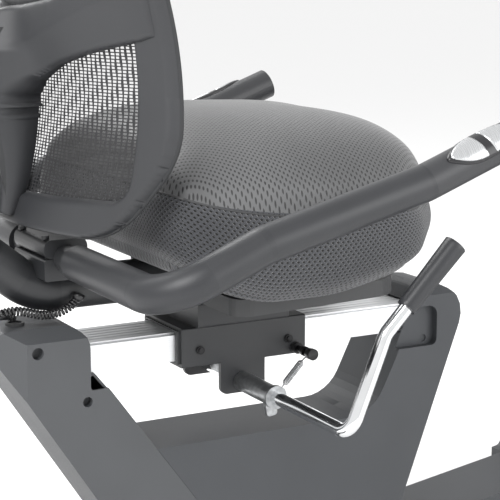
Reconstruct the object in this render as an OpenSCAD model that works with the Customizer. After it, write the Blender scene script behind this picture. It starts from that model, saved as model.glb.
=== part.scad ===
// Recumbent exercise bike: a seat that slides on a rail, a covered frame, a belt drive with a
// magnet brake, a console on a mast and a sprung lever that clamps the seat to the rail.
// +X points the way the rider faces, +Y to the rider's left and +Z up. Sizes are in millimetres.

/* [Base] */
// Length of the whole base, over the end caps
overall_length = 1580; // [1500:10:1900]
// Length of each stabiliser tube, across the bike
stabilizer_length = 520; // [430:10:640]
// Width of a stabiliser tube, along the bike
stabilizer_w = 70; // [60:1:85]
// Height of the stabiliser and beam tubes
beam_h = 50; // [40:1:60]
// Width of the beam tube
beam_w = 80; // [66:1:96]
// Underside of the beam above the floor
beam_z = 25; // [22:1:32]
// Wall of the steel tubes
tube_wall = 3; // [2:0.5:4]
// Radius of a transport wheel
wheel_r = 25; // [20:1:27]

/* [Seat rail] */
// Underside of the rail above the floor
rail_z = 377.5; // [340:0.5:460]
// Width of the rail
rail_w = 80; // [66:1:84]
// Height of the rail's side faces
rail_h = 32; // [26:1:39]
// Rear end of the rail
rail_rear_x = -625; // [-640:1:-600]
// Front end of the rail
rail_front_x = -66; // [-72:1:-60]
// Wall of the rail
rail_wall = 4; // [3:0.5:6]

/* [Carriage] */
// Middle of the carriage along the rail
carriage_x = -347.5; // [-380:0.5:-330]
// Length of the carriage sleeve
carriage_length = 168; // [140:1:202]
// Thickness of the carriage's walls
carriage_wall = 6; // [5:0.5:7.5]
// Free play between the glide bushes and the rail
glide_gap = 0.4; // [0.3:0.1:0.8]

/* [Seat] */
// Width of the cushion
seat_width = 430; // [350:5:520]
// Length of the cushion
seat_length = 408; // [340:1:490]
// Width of the backrest
back_width = 466; // [388:2:560]
// Height of the backrest
back_height = 496; // [410:2:600]
// Diameter of the bare handlebar tube
bar_d = 30; // [25:1:36]
// Thickness of the handlebar's soft cover
bar_cover = 5.5; // [4:0.5:7]
// Distance of each side handlebar from the middle plane
bar_reach = 305; // [280:5:370]

/* [Lever] */
// Diameter of the lever rod
lever_d = 16; // [12:1:19]
// Distance of the lever's upright part from the middle plane
lever_reach = 297; // [245:1:360]
// Diameter of the lever's grip
grip_d = 25; // [22:1:30]

/* [Covers] */
// Half width of the seat pillars' covers
pillar_half_w = 55; // [52:1:68]
// Half width of the drive cover
drive_half_w = 80; // [74:1:96]
// Wall of the plastic covers
cover_wall = 3; // [2:0.5:4]
// Top of the low cover between the two pillars
low_cover_z = 278; // [230:1:290]

/* [Drive] */
// Crank centre along the bike
crank_x = 390; // [375:5:410]
// Crank centre above the floor
crank_z = 330; // [320:1:345]
// Length of a crank arm
crank_length = 170; // [140:5:175]
// Diameter of the crank axle
crank_axle_d = 20; // [16:1:24]
// Radius of the large belt pulley
pulley_r = 130; // [105:1:132]
// Radius of the flywheel
flywheel_r = 116; // [95:1:122]
// Radius of the small belt pulley on the flywheel
pinion_r = 32.5; // [26:0.5:39]
// Width of the belt
belt_w = 14; // [11:1:17]
// Length of a pedal along the bike
pedal_length = 100; // [82:1:120]
// Width of a pedal across the bike
pedal_w = 92; // [76:1:111]

/* [Console] */
// Height of the mast's top
mast_top_z = 1110; // [920:5:1340]
// Diameter of the mast
mast_d = 50; // [42:1:54]
// Width of the console
console_w = 300; // [240:5:380]
// Height of the console
console_h = 210; // [175:5:260]
// Half width of the front handlebar
front_bar_reach = 210; // [180:5:260]

/* [Hidden] */
$fn = 48;

// Clearances that more than one piece uses
running_gap = 0.05;  // round pin in its own bore
slip_gap = 0.4;      // pieces that pass close by
seam_gap = 0.4;      // between neighbouring covers

half_length = overall_length / 2;
beam_top = beam_z + beam_h;
stabilizer_x = half_length - 3 - stabilizer_w / 2;
rail_crown = 2.5;
rail_top = rail_z + rail_h + rail_crown;
head_top = rail_top + 24;
cover_base = beam_top + 5;

// Slant of the rear pillar and of the front one, in mm along X for each mm of height
rear_lean = 0.727;
rear_back_lean = 0.645;
front_lean = 0.373;
function rear_front_line(z) = -524.5 + (rail_z - 19.5 - z) * rear_lean;
function rear_back_line(z) = -654 + (rail_z + 22.5 - z) * rear_back_lean;
function front_front_line(z) = -28.2 + (z - rail_z - 20.5) * front_lean;
pillar_back_x = -131.6;
cover_joint_x = 128;
step_rear_z = 112;
step_front_z = 151;

bar_r = bar_d / 2;
cover_r = bar_r + bar_cover;
axle_x = carriage_x - 3.5;
axle_z = rail_z - 32;
lever_r = lever_d / 2;
carriage_half_w = rail_w / 2 + 6 + carriage_wall;
carriage_top = rail_top + 2.4 + 4;
seat_base_z = rail_top + 38;
seat_rear_x = carriage_x - 170;
seat_front_x = seat_rear_x + seat_length;
bar_x = carriage_x - 225.5;
bar_z = rail_top + 104;
post_r = 25;
post_z = seat_base_z + 22;
post_hole_x = carriage_x - 80;

flywheel_x = crank_x + 210;
flywheel_z = crank_z - 100;
pulley_y = 34;
mast_foot_x = 300;
mast_bend_z = 640;
mast_lean = 0.181;
function mast_x(z) = mast_foot_x - (z - mast_bend_z) * mast_lean;
mast_tilt = -atan(mast_lean);
arm_y = drive_half_w + 6;
arm_t = 16;
pedal_y = arm_y + arm_t + 3;
wheel_x = half_length - 2 - wheel_r;
wheel_y = stabilizer_length / 2 + 25;
wheel_z = wheel_r + 4;
console_tilt = 25;

// The curly cord's middle line, from its grommet on the seat post to its socket on the rear head
CORD_POINTS = [
    [-553, -30, 466], [-558, -31, 460], [-566, -32, 455], [-576, -32, 451], [-587, -32, 449.5],
    [-598, -32, 450], [-609, -31, 453], [-619, -30, 456], [-629, -28, 457.5], [-638, -25, 456],
    [-642, -20, 453], [-641, -14, 450.5], [-636, -9, 449], [-630, -6, 448], [-624, -5, 446],
    [-621, -5, 443], [-620.5, -5, 441], [-620.5, -5, 439.3]
];
cord_r = 5.5;

// ---- shared shapes ----

function unit(v) = v / norm(v);
function cross2(a, b) = a[0] * b[1] - a[1] * b[0];

// Points of one corner [x, z, radius] of an outline, rounded between its neighbours
function corner(a, p, b, steps = 6) =
    let (
        q = [p[0], p[1]],
        u = unit([a[0], a[1]] - q),
        v = unit([b[0], b[1]] - q),
        half = acos(max(-1, min(1, u * v))) / 2,
        c = q + unit(u + v) * p[2] / sin(half),
        s = q + u * p[2] / tan(half) - c,
        start = atan2(s[1], s[0]),
        turn = (180 - 2 * half) * (cross2(u, v) < 0 ? 1 : -1)
    )
    p[2] == 0 ? [q] : [for (i = [0:steps]) c + p[2] * [cos(start + turn * i / steps), sin(start + turn * i / steps)]];

// A closed outline with each corner rounded by its own radius
function rounded(corners) =
    let (n = len(corners))
    [for (i = [0:n - 1]) each corner(corners[(i + n - 1) % n], corners[i], corners[(i + 1) % n])];

// An outline moved inwards by d; the outline runs anticlockwise
function inset(p, d) =
    let (n = len(p))
    [for (i = [0:n - 1])
        let (
            a = unit(p[i] - p[(i + n - 1) % n]),
            b = unit(p[(i + 1) % n] - p[i]),
            na = [-a[1], a[0]],
            nb = [-b[1], b[0]]
        )
        p[i] + (na + nb) / (1 + na * nb) * d];

// An outline of X and Z, extruded along Y
module prism_y(outline, y0, y1) {
    translate([0, y1, 0]) rotate([90, 0, 0]) linear_extrude(y1 - y0) polygon(outline);
}

// An outline of Y and Z, extruded along X
module prism_x(outline, x0, x1) {
    translate([x0, 0, 0]) rotate([90, 0, 90]) linear_extrude(x1 - x0) polygon(outline);
}

// An outline of X and Y, extruded along Z
module prism_z(outline, z0, z1) {
    translate([0, 0, z0]) linear_extrude(z1 - z0) polygon(outline);
}

function rect(x0, x1, z0, z1, r = 0) = rounded([[x0, z0, r], [x1, z0, r], [x1, z1, r], [x0, z1, r]]);

module box(x0, x1, y0, y1, z0, z1) {
    translate([x0, y0, z0]) cube([x1 - x0, y1 - y0, z1 - z0]);
}

// A cylinder along Y
module rod_y(x, z, r, y0, y1) {
    translate([x, y1, z]) rotate([90, 0, 0]) cylinder(r = r, h = y1 - y0);
}

// Turns +Z to the direction d and moves the origin to p
module along(p, d) {
    u = unit(d);
    side = norm([u[0], u[1]]) < 0.001 ? [1, 0, 0] : unit([-u[1], u[0], 0]);
    other = cross(u, side);
    multmatrix([
        [side[0], other[0], u[0], p[0]],
        [side[1], other[1], u[1], p[1]],
        [side[2], other[2], u[2], p[2]],
        [0, 0, 0, 1]
    ]) children();
}

module ring(r, bore) {
    difference() {
        circle(r);
        if (bore > 0) circle(bore);
    }
}

// How much of a straight a bend of radius b takes at corner i
function bend_trim(p, i, b) =
    (i == 0 || i == len(p) - 1) ? 0 :
    let (a = unit(p[i] - p[i - 1]), c = unit(p[i + 1] - p[i])) b * tan(acos(a * c) / 2);

// A round tube along straight runs joined by true bends. A bend is a hair thinner than the
// straights and reaches a little way into them, so that they join cleanly.
bend_lap = 0.6;
bend_ease = 0.04;
module bent_tube(p, r, bend, bore = 0) {
    for (i = [0:len(p) - 2]) {
        d = unit(p[i + 1] - p[i]);
        t0 = bend_trim(p, i, bend);
        t1 = bend_trim(p, i + 1, bend);
        along(p[i] + d * t0, d) linear_extrude(norm(p[i + 1] - p[i]) - t0 - t1) ring(r, bore);
    }
    for (i = [1:len(p) - 2]) {
        a = unit(p[i] - p[i - 1]);
        b = unit(p[i + 1] - p[i]);
        turn = acos(a * b);
        n = unit(b - a * (a * b));
        c = p[i] - a * bend_trim(p, i, bend) + n * bend;
        z = cross(-n, a);
        lap = bend_lap / bend * 180 / PI;
        multmatrix([
            [-n[0], a[0], z[0], c[0]],
            [-n[1], a[1], z[1], c[1]],
            [-n[2], a[2], z[2], c[2]],
            [0, 0, 0, 1]
        ]) rotate([0, 0, -lap]) rotate_extrude(angle = turn + 2 * lap) translate([bend, 0])
            ring(r - bend_ease, bore > 0 ? bore + bend_ease : 0);
    }
}

// Draws its children as they stand, made for the right side, or mirrored to the left
module on_side(side) {
    if (side < 0) children();
    else mirror([0, 1, 0]) children();
}

module both_sides() {
    children();
    mirror([0, 1, 0]) children();
}

// ---- base ----

module base_beam() color("#2b2c2e") {
    end_x = half_length - 3 - stabilizer_w;
    difference() {
        box(-end_x, end_x, -beam_w / 2, beam_w / 2, beam_z, beam_top);
        box(-end_x - 1, end_x + 1,
            tube_wall - beam_w / 2, beam_w / 2 - tube_wall, beam_z + tube_wall, beam_top - tube_wall);
    }
}

// A leaning box tube from the beam up to the rail
module leaning_post(x_low, x_high, half_x, half_y) {
    outline = [
        [x_low - half_x, beam_top], [x_low + half_x, beam_top], [x_high + half_x, rail_z], [x_high - half_x, rail_z]
    ];
    difference() {
        prism_y(outline, -half_y, half_y);
        prism_y([
            [x_low - half_x + 2 * tube_wall, beam_top - 1], [x_low + half_x - 2 * tube_wall, beam_top - 1],
            [x_high + half_x - 2 * tube_wall, rail_z + 1], [x_high - half_x + 2 * tube_wall, rail_z + 1]
        ], tube_wall - half_y, half_y - tube_wall);
    }
}

module rear_post() color("#2b2c2e") {
    x_low = (rear_front_line(beam_top) + rear_back_line(beam_top)) / 2;
    leaning_post(x_low, -590, 30, 30);
}

module front_post() color("#2b2c2e") {
    leaning_post(front_front_line(beam_top) - 42, front_front_line(rail_z) - 36, 24, 30);
}

foot_y = stabilizer_length / 2 - 35;
foot_stud_r = 5;
module stabilizer(x) color("#2b2c2e") {
    difference() {
        box(x - stabilizer_w / 2, x + stabilizer_w / 2, -stabilizer_length / 2, stabilizer_length / 2, beam_z, beam_top);
        box(x - stabilizer_w / 2 + tube_wall, x + stabilizer_w / 2 - tube_wall,
            -stabilizer_length / 2 - 1, stabilizer_length / 2 + 1, beam_z + tube_wall, beam_top - tube_wall);
        for (side = [-1, 1])
            translate([x, side * foot_y, beam_z - 1]) cylinder(r = foot_stud_r + running_gap, h = tube_wall + 2);
    }
}
module rear_stabilizer() stabilizer(-stabilizer_x);
module front_stabilizer() stabilizer(stabilizer_x);

// A plastic cap: a sleeve that plugs the tube's end and a flange round it
module plain_cap(x) {
    flange = rect(stabilizer_length / 2, stabilizer_length / 2 + 22, beam_z - 3, beam_top + 3, 6);
    prism_x(flange, x - stabilizer_w / 2 - 3, x + stabilizer_w / 2 + 3);
    box(x - stabilizer_w / 2 + tube_wall, x + stabilizer_w / 2 - tube_wall,
        stabilizer_length / 2 - 18, stabilizer_length / 2, beam_z + tube_wall, beam_top - tube_wall);
}

module rear_end_caps() color("#1d1e20") both_sides() plain_cap(-stabilizer_x);

// The front caps hold a transport wheel each between two cheeks, on a moulded pin
wheel_pin_r = 5;
module wheel_cap() {
    y0 = stabilizer_length / 2;
    difference() {
        union() {
            prism_x(rect(y0, y0 + 50, beam_z - 3, beam_top + 3, 6), stabilizer_x - stabilizer_w / 2 - 3, half_length);
            box(stabilizer_x - stabilizer_w / 2 + tube_wall, stabilizer_x + stabilizer_w / 2 - tube_wall,
                y0 - 18, y0, beam_z + tube_wall, beam_top - tube_wall);
        }
        box(wheel_x - wheel_r - 3, half_length + 1, wheel_y - 12, wheel_y + 12, beam_z - 5, wheel_z + wheel_r + 3);
    }
    rod_y(wheel_x, wheel_z, wheel_pin_r, wheel_y - 13, wheel_y + 13);
}
module front_end_caps() color("#1d1e20") both_sides() wheel_cap();

module levelling_feet() color("#17181a") {
    for (x = [-stabilizer_x, stabilizer_x], side = [-1, 1]) translate([x, side * foot_y, 0]) {
        cylinder(r1 = 22, r2 = 20, h = 9);
        cylinder(r = 9, h = 16);
        cylinder(r = foot_stud_r, h = beam_z + 22);
    }
}

module wheel(side) color("#26272a") {
    translate([0, side * wheel_y, 0]) difference() {
        rod_y(wheel_x, wheel_z, wheel_r, -10.5, 10.5);
        rod_y(wheel_x, wheel_z, wheel_pin_r + running_gap, -11, 11);
        for (face = [-1, 1]) translate([0, face * 10.5, 0]) difference() {
            rod_y(wheel_x, wheel_z, wheel_r - 6, -3, 3);
            rod_y(wheel_x, wheel_z, wheel_pin_r + 4, -4, 4);
        }
    }
}
module wheel_right() wheel(-1);
module wheel_left() wheel(1);

// ---- seat rail ----

function rail_outline() = [
    [-rail_w / 2, rail_z], [rail_w / 2, rail_z], [rail_w / 2, rail_z + rail_h], [rail_w / 2 - 3, rail_z + rail_h],
    [rail_w / 2 - 3, rail_z + rail_h - 1.5], [rail_w / 2 - 5, rail_z + rail_h - 1.5], [rail_w / 2 - 5, rail_top],
    [5 - rail_w / 2, rail_top], [5 - rail_w / 2, rail_z + rail_h - 1.5], [3 - rail_w / 2, rail_z + rail_h - 1.5],
    [3 - rail_w / 2, rail_z + rail_h], [-rail_w / 2, rail_z + rail_h]
];
function rail_hollow() = rect(
    rail_wall - rail_w / 2, rail_w / 2 - rail_wall, rail_z + rail_wall, rail_z + rail_h - rail_wall
);

module seat_rail() color("#c9cbcc") {
    ridge_count = 5;
    ridge_pitch = (rail_w - 24) / ridge_count;
    difference() {
        prism_x(rail_outline(), rail_rear_x, rail_front_x);
        prism_x(rail_hollow(), rail_rear_x - 1, rail_front_x + 1);
        for (i = [0:ridge_count - 1])
            translate([rail_rear_x - 1, (i - (ridge_count - 1) / 2) * ridge_pitch - 1, rail_top - 0.8])
                cube([rail_front_x - rail_rear_x + 2, 2, 2]);
    }
}

// Plastic plugs in the rail's ends, which also stop the carriage
module rail_end_plugs() color("#1d1e20") {
    flange = rect(1 - rail_w / 2, rail_w / 2 - 1, rail_z + 1, rail_z + rail_h - 1, 3);
    prism_x(rail_hollow(), rail_rear_x, rail_rear_x + 14);
    prism_x(flange, rail_rear_x - 4, rail_rear_x);
    prism_x(rail_hollow(), rail_front_x - 14, rail_front_x);
    prism_x(flange, rail_front_x, rail_front_x + 4);
}

// ---- covers ----

function rear_outline() = rounded([
    [rear_back_line(cover_base), cover_base, 0], [rear_front_line(cover_base), cover_base, 0],
    [-524.5, rail_z - 19.5, 6], [-541, rail_z + 1, 0], [-548.5, rail_z + 1, 0],
    [-548.5, head_top, 26], [-655, head_top, 14], [-655, rail_z + 23.5, 4]
]);

// Limits of the rear head's chamfered corners, seen from above and from behind
module head_limits(d) {
    w = pillar_half_w - d;
    prism_z([
        [-655 + d, -30 + d / 2], [-625 + d / 2, -w], [-200, -w], [-200, w], [-625 + d / 2, w], [-655 + d, 30 - d / 2]
    ], cover_base - 20, head_top + 10);
}
module top_limits(d, x0, x1) {
    w = pillar_half_w - d;
    prism_x([
        [-w, cover_base - 20], [w, cover_base - 20], [w, head_top - 13 - d / 2], [w - 19, head_top - d + 0.01],
        [19 - w, head_top - d + 0.01], [-w, head_top - 13 - d / 2]
    ], x0, x1);
}

module rear_head(d) {
    intersection() {
        prism_y(inset(rear_outline(), d), d - pillar_half_w, d > 0 ? 1 : 0);
        head_limits(d);
        top_limits(d, -700, -200);
    }
}

// A round recess for a cover screw, with its blind boss inside
module screw_boss(x, z, r) {
    rod_y(x, z, r + 3, 1 - pillar_half_w, 14 - pillar_half_w);
}
module screw_recess(x, z, r) {
    rod_y(x, z, r, -pillar_half_w - 1, 11 - pillar_half_w);
}
REAR_SCREWS = [[-612, rail_z + 34, 7], [-553, rail_z - 30, 6]];
FRONT_SCREWS = [[-84, rail_z - 12, 5]];

module rear_cover(side) color("#3a3d41") on_side(side) {
    foot_x0 = rear_back_line(cover_base) + 2 * cover_wall;
    foot_x1 = rear_front_line(cover_base) - 2 * cover_wall;
    difference() {
        union() {
            difference() {
                rear_head(0);
                rear_head(cover_wall);
            }
            for (s = REAR_SCREWS) screw_boss(s[0], s[1], s[2]);
        }
        for (s = REAR_SCREWS) screw_recess(s[0], s[1], s[2]);
        // The rail's way in, with the notch beneath it
        box(-585, -520, -rail_w / 2 - 2, 1, rail_z - 2, rail_top + 2);
        prism_y(rect(-549, -510, rail_z - 17, rail_z + 2, 4), -pillar_half_w - 1, 8 - pillar_half_w);
        // Open at the bottom, where the post comes in
        prism_y([
            [foot_x0, cover_base - 5], [foot_x1, cover_base - 5], [foot_x1, cover_base + 6], [foot_x0, cover_base + 6]
        ], cover_wall - pillar_half_w, 1);
    }
}
module rear_cover_right() rear_cover(-1);
module rear_cover_left() rear_cover(1);

function base_outline() = rounded([
    [rear_front_line(cover_base) + seam_gap, cover_base, 0], [cover_joint_x, cover_base, 0],
    [cover_joint_x, step_front_z, 0], [front_front_line(step_rear_z), step_rear_z, 16],
    [front_front_line(head_top), head_top, 40], [-90, head_top, 16],
    [pillar_back_x, rail_z - 31.5, 40], [pillar_back_x - (rail_z - 31.5 - low_cover_z) * 0.5, low_cover_z, 55],
    [rear_front_line(low_cover_z) + seam_gap, low_cover_z, 0]
]);

module base_body(d) {
    intersection() {
        prism_y(inset(base_outline(), d), d - pillar_half_w, d > 0 ? 1 : 0);
        top_limits(d, -600, 200);
    }
}

// The scoop in the front pillar's side, round the rail's end
function scoop_outline(d) = rounded([
    [-180, rail_z - 20 - d, 0], [-69 + d, rail_z - 20 - d, 8], [-69 + d, rail_z + 32 + d, 12], [-180, rail_z + 32 + d, 0]
]);

module base_cover(side) color("#3a3d41") on_side(side) {
    scoop_y = 10 - pillar_half_w;
    difference() {
        union() {
            difference() {
                base_body(0);
                base_body(cover_wall);
            }
            intersection() {
                base_body(0);
                prism_y(scoop_outline(cover_wall), -pillar_half_w, scoop_y + cover_wall);
            }
        }
        prism_y(scoop_outline(0), -pillar_half_w - 1, scoop_y);
        for (s = FRONT_SCREWS) rod_y(s[0], s[1], s[2], -pillar_half_w, scoop_y + cover_wall - 1);
        box(-180, -100, -rail_w / 2 - 2, 1, rail_z - 2, rail_top + 2);
        box(-180, rail_front_x + 8, -rail_w / 2 - 2, 1, rail_z - 2, rail_top + 2);
        box(rear_front_line(cover_base) + 6, cover_joint_x - 6, cover_wall - pillar_half_w, 1, cover_base - 5, cover_base + 6);
    }
}
module base_cover_right() base_cover(-1);
module base_cover_left() base_cover(1);

drive_front_x = half_length - 20;
drive_top_z = crank_z + 230;
function drive_outline() = rounded([
    [cover_joint_x + seam_gap, cover_base, 0], [drive_front_x, cover_base, 10],
    [drive_front_x - 2, crank_z - 20, 110], [crank_x + 210, drive_top_z - 45, 110],
    [mast_foot_x + 76, drive_top_z, 60], [mast_foot_x - 72, drive_top_z, 36],
    [cover_joint_x + 66, crank_z + 110, 60], [cover_joint_x + 14, step_front_z + 2, 10],
    [cover_joint_x + seam_gap, step_front_z, 0]
]);

module drive_cover(side) color("#3a3d41") on_side(side) {
    difference() {
        prism_y(drive_outline(), -drive_half_w, 0);
        prism_y(inset(drive_outline(), cover_wall), cover_wall - drive_half_w, 1);
        rod_y(crank_x, crank_z, crank_axle_d / 2 + 6, -drive_half_w - 1, cover_wall - drive_half_w + 1);
        translate([mast_foot_x, 0, drive_top_z - 10]) cylinder(r = mast_d / 2 + 4, h = 20);
        box(cover_joint_x + 6, drive_front_x - 10, cover_wall - drive_half_w, 1, cover_base - 5, cover_base + 6);
    }
}
module drive_cover_right() drive_cover(-1);
module drive_cover_left() drive_cover(1);

// A rubber boot that closes the gap round the mast
module mast_boot() color("#1b1c1e") translate([mast_foot_x, 0, drive_top_z]) difference() {
    union() {
        cylinder(r = mast_d / 2 + 30, h = 6);
        translate([0, 0, 6]) cylinder(r1 = mast_d / 2 + 24, r2 = mast_d / 2 + 7, h = 34);
    }
    translate([0, 0, -1]) cylinder(r = mast_d / 2 + running_gap, h = 50);
}

// ---- drive ----

// Two plates carry the flywheel's axle and the magnet arm's pin; a shell holds the crank bearings
magnet_pin_x = flywheel_x + 112;
magnet_pin_z = flywheel_z + 92;
magnet_pin_r = 5;
flywheel_axle_r = 8;
bearing_r = crank_axle_d / 2 + 10;
// Where the belt's lower run leaves each pulley
drive_span = norm([flywheel_x - crank_x, flywheel_z - crank_z]);
run_u = [flywheel_x - crank_x, flywheel_z - crank_z] / drive_span;
run_s = (pulley_r - pinion_r) / drive_span;
run_low = run_u * run_s + [run_u[1], -run_u[0]] * sqrt(1 - run_s * run_s);
run_high = run_u * run_s - [run_u[1], -run_u[0]] * sqrt(1 - run_s * run_s);
belt_inner_gap = 0.4;
belt_t = 4;
idler_r = 20;
idler_along = 0.55;
idler_at = [crank_x, crank_z] + run_low * (pulley_r + belt_inner_gap + belt_t + 0.4 + idler_r)
    + ([flywheel_x, flywheel_z] - [crank_x, crank_z] + run_low * (pinion_r - pulley_r)) * idler_along;
idler_pin_r = 5;

module carrier_plate(y) {
    prism_y(rounded([
        [flywheel_x - 60, beam_top, 0], [magnet_pin_x + 10, beam_top, 0], [magnet_pin_x + 14, magnet_pin_z + 12, 8],
        [magnet_pin_x - 12, magnet_pin_z + 12, 8], [flywheel_x - 30, flywheel_z + 34, 20]
    ]), y, y + 6);
}

module drive_frame() color("#2b2c2e") {
    // Foot plate and lower mast tube, with the socket that the console mast slides into
    difference() {
        union() {
            box(mast_foot_x - 40, mast_foot_x + 40, -beam_w / 2 + 2, beam_w / 2 - 2, beam_top, beam_top + 6);
            translate([mast_foot_x, 0, beam_top]) cylinder(r = mast_d / 2 + 4, h = 400);
            box(mast_foot_x, crank_x, -6, 6, crank_z - 42, crank_z + 42);
            rod_y(crank_x, crank_z, bearing_r + 5, -44, 26);
        }
        translate([mast_foot_x, 0, beam_top + 250]) cylinder(r = mast_d / 2 + running_gap, h = 200);
        rod_y(crank_x, crank_z, bearing_r, -45, 27);
    }
    carrier_y = pulley_y + belt_w + 4;
    carrier_plate(-44);
    carrier_plate(carrier_y);
    box(flywheel_x - 60, magnet_pin_x + 10, -44, carrier_y + 6, beam_top, beam_top + 6);
    rod_y(flywheel_x, flywheel_z, flywheel_axle_r, -50, carrier_y + 12);
    rod_y(magnet_pin_x, magnet_pin_z, magnet_pin_r, -46, carrier_y + 8);
    // The idler's stand, beside the belt
    box(idler_at[0] - 18, idler_at[0] + 18, 16, 24, beam_top, idler_at[1] + 12);
    rod_y(idler_at[0], idler_at[1], idler_pin_r, 20, 54);
}

module crank_bearings() color("#b9bcc0") {
    for (y = [-44, 14]) difference() {
        rod_y(crank_x, crank_z, bearing_r, y, y + 12);
        rod_y(crank_x, crank_z, crank_axle_d / 2 + running_gap, y - 1, y + 13);
    }
}

module crank_axle() color("#9a9da1") {
    rod_y(crank_x, crank_z, crank_axle_d / 2, -arm_y - arm_t, arm_y + arm_t);
    both_sides() rod_y(crank_x, crank_z, 8, -arm_y - arm_t - 5, -arm_y - arm_t);
}

// The right arm points back and the left one forward
pedal_pin_r = 7;
module crank_arm(dir) {
    end_x = crank_x + dir * crank_length;
    difference() {
        union() {
            rod_y(crank_x, crank_z, crank_axle_d / 2 + 12, -arm_y - arm_t, -arm_y);
            rod_y(end_x, crank_z, 15, -arm_y - arm_t, -arm_y);
            box(min(crank_x, end_x), max(crank_x, end_x), -arm_y - arm_t, -arm_y, crank_z - 14, crank_z + 14);
            rod_y(end_x, crank_z, pedal_pin_r, -pedal_y - pedal_w - 3, -arm_y - arm_t);
            rod_y(end_x, crank_z, pedal_pin_r + 3, -pedal_y - pedal_w - 6, -pedal_y - pedal_w - 1);
        }
        rod_y(crank_x, crank_z, crank_axle_d / 2, -arm_y - arm_t - 1, 1 - arm_y);
    }
}
module crank_arms() color("#8d9094") {
    crank_arm(-1);
    mirror([0, 1, 0]) crank_arm(1);
}

module crank_pulley() color("#303236") difference() {
    rod_y(crank_x, crank_z, pulley_r, pulley_y, pulley_y + belt_w);
    rod_y(crank_x, crank_z, crank_axle_d / 2, pulley_y - 1, pulley_y + belt_w + 1);
    for (i = [0:5]) rotate_about(crank_x, crank_z, i * 60)
        rod_y(crank_x + pulley_r * 0.6, crank_z, pulley_r * 0.2, pulley_y - 1, pulley_y + belt_w + 1);
}
module rotate_about(x, z, angle) {
    translate([x, 0, z]) rotate([0, angle, 0]) translate([-x, 0, -z]) children();
}

module belt_shape(grow) {
    c1 = [crank_x, crank_z];
    c2 = [flywheel_x, flywheel_z];
    r1 = pulley_r + grow;
    r2 = pinion_r + grow;
    translate(c1) circle(r1, $fn = 96);
    translate(c2) circle(r2);
    polygon([c1, c1 + run_low * r1, c2 + run_low * r2, c2, c2 + run_high * r2, c1 + run_high * r1]);
}
module drive_belt() color("#141414")
    translate([0, pulley_y + belt_w, 0]) rotate([90, 0, 0]) linear_extrude(belt_w) difference() {
        belt_shape(belt_inner_gap + belt_t);
        belt_shape(belt_inner_gap);
    }

module flywheel() color("#6d7074") difference() {
    union() {
        rod_y(flywheel_x, flywheel_z, flywheel_r, -34, -8);
        rod_y(flywheel_x, flywheel_z, 22, -37, 1);
        rod_y(flywheel_x, flywheel_z, 14, 0, pulley_y);
        rod_y(flywheel_x, flywheel_z, pinion_r, pulley_y, pulley_y + belt_w);
    }
    rod_y(flywheel_x, flywheel_z, flywheel_axle_r + running_gap, -38, pulley_y + belt_w + 1);
    for (face = [-34, -16]) difference() {
        rod_y(flywheel_x, flywheel_z, flywheel_r - 26, face - 1, face + 9);
        rod_y(flywheel_x, flywheel_z, 30, face - 2, face + 10);
    }
}

module idler_pulley() color("#9a9da1") difference() {
    rod_y(idler_at[0], idler_at[1], idler_r, pulley_y - 1, pulley_y + belt_w + 1);
    rod_y(idler_at[0], idler_at[1], idler_pin_r + running_gap, pulley_y - 2, pulley_y + belt_w + 2);
}

// A curved shoe of magnets over the flywheel's rim, on an arm that lifts it away
module magnet_arm() color("#a7a9ac") difference() {
    union() {
        intersection() {
            difference() {
                rod_y(flywheel_x, flywheel_z, flywheel_r + 16, -37.5, -4.5);
                rod_y(flywheel_x, flywheel_z, flywheel_r + 3, -39, -3);
            }
            prism_y([
                [flywheel_x, flywheel_z], [flywheel_x + 190, flywheel_z + 190],
                [flywheel_x + 190, flywheel_z + 400], [flywheel_x - 140, flywheel_z + 200]
            ], -38, -4);
        }
        prism_y([
            [flywheel_x + 84, flywheel_z + 88], [flywheel_x + 94, flywheel_z + 84], [magnet_pin_x, magnet_pin_z - 10],
            [magnet_pin_x, magnet_pin_z + 10], [flywheel_x + 86, flywheel_z + 100]
        ], -30, -12);
        rod_y(magnet_pin_x, magnet_pin_z, 10, -37.5, 3.5);
    }
    rod_y(magnet_pin_x, magnet_pin_z, magnet_pin_r + running_gap, -60, 30);
}

module brake_motor() color("#202225") {
    prism_x(rect(-38, 0, beam_top, beam_top + 52, 3), crank_x + 10, crank_x + 76);
}

// A platform pedal with two windows, on its spindle, with a strap over the foot
module pedal(x, side) color("#1f2023") on_side(side) {
    y0 = -pedal_y - pedal_w;
    half = pedal_length / 2;
    difference() {
        union() {
            prism_y(rounded([
                [x - half, crank_z - 13, 8], [x + half, crank_z - 13, 8], [x + half, crank_z + 13, 8], [x - half, crank_z + 13, 8]
            ]), y0, -pedal_y);
            difference() {
                prism_y(strap_outline(x, half + 4, 66), y0 + 26, y0 + 60);
                prism_y(strap_outline(x, half, 62), y0 + 25, y0 + 61);
            }
        }
        rod_y(x, crank_z, pedal_pin_r + running_gap, y0 - 1, 1 - pedal_y);
        rod_y(x, crank_z, pedal_pin_r + 4, y0 - 1, y0 + 3);
        for (mid = [x - half * 0.56, x + half * 0.56])
            box(mid - 14, mid + 14, y0 + 12, -pedal_y - 12, crank_z - 20, crank_z + 20);
    }
}
function strap_outline(x, half, h) = rounded([
    [x - half, crank_z - 8, 0], [x + half, crank_z - 8, 0], [x + half, crank_z + h * 0.5, 20], [x + half * 0.5, crank_z + h, 24],
    [x - half * 0.5, crank_z + h, 24], [x - half, crank_z + h * 0.5, 20]
]);
module pedal_right() pedal(crank_x - crank_length, -1);
module pedal_left() pedal(crank_x + crank_length, 1);

// ---- mast, console and front handlebar ----

module console_mast() color("#303236")
    bent_tube([
        [mast_foot_x, 0, beam_top + 252], [mast_foot_x, 0, mast_bend_z], [mast_x(mast_top_z), 0, mast_top_z]
    ], mast_d / 2, 120, mast_d / 2 - tube_wall);

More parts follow.
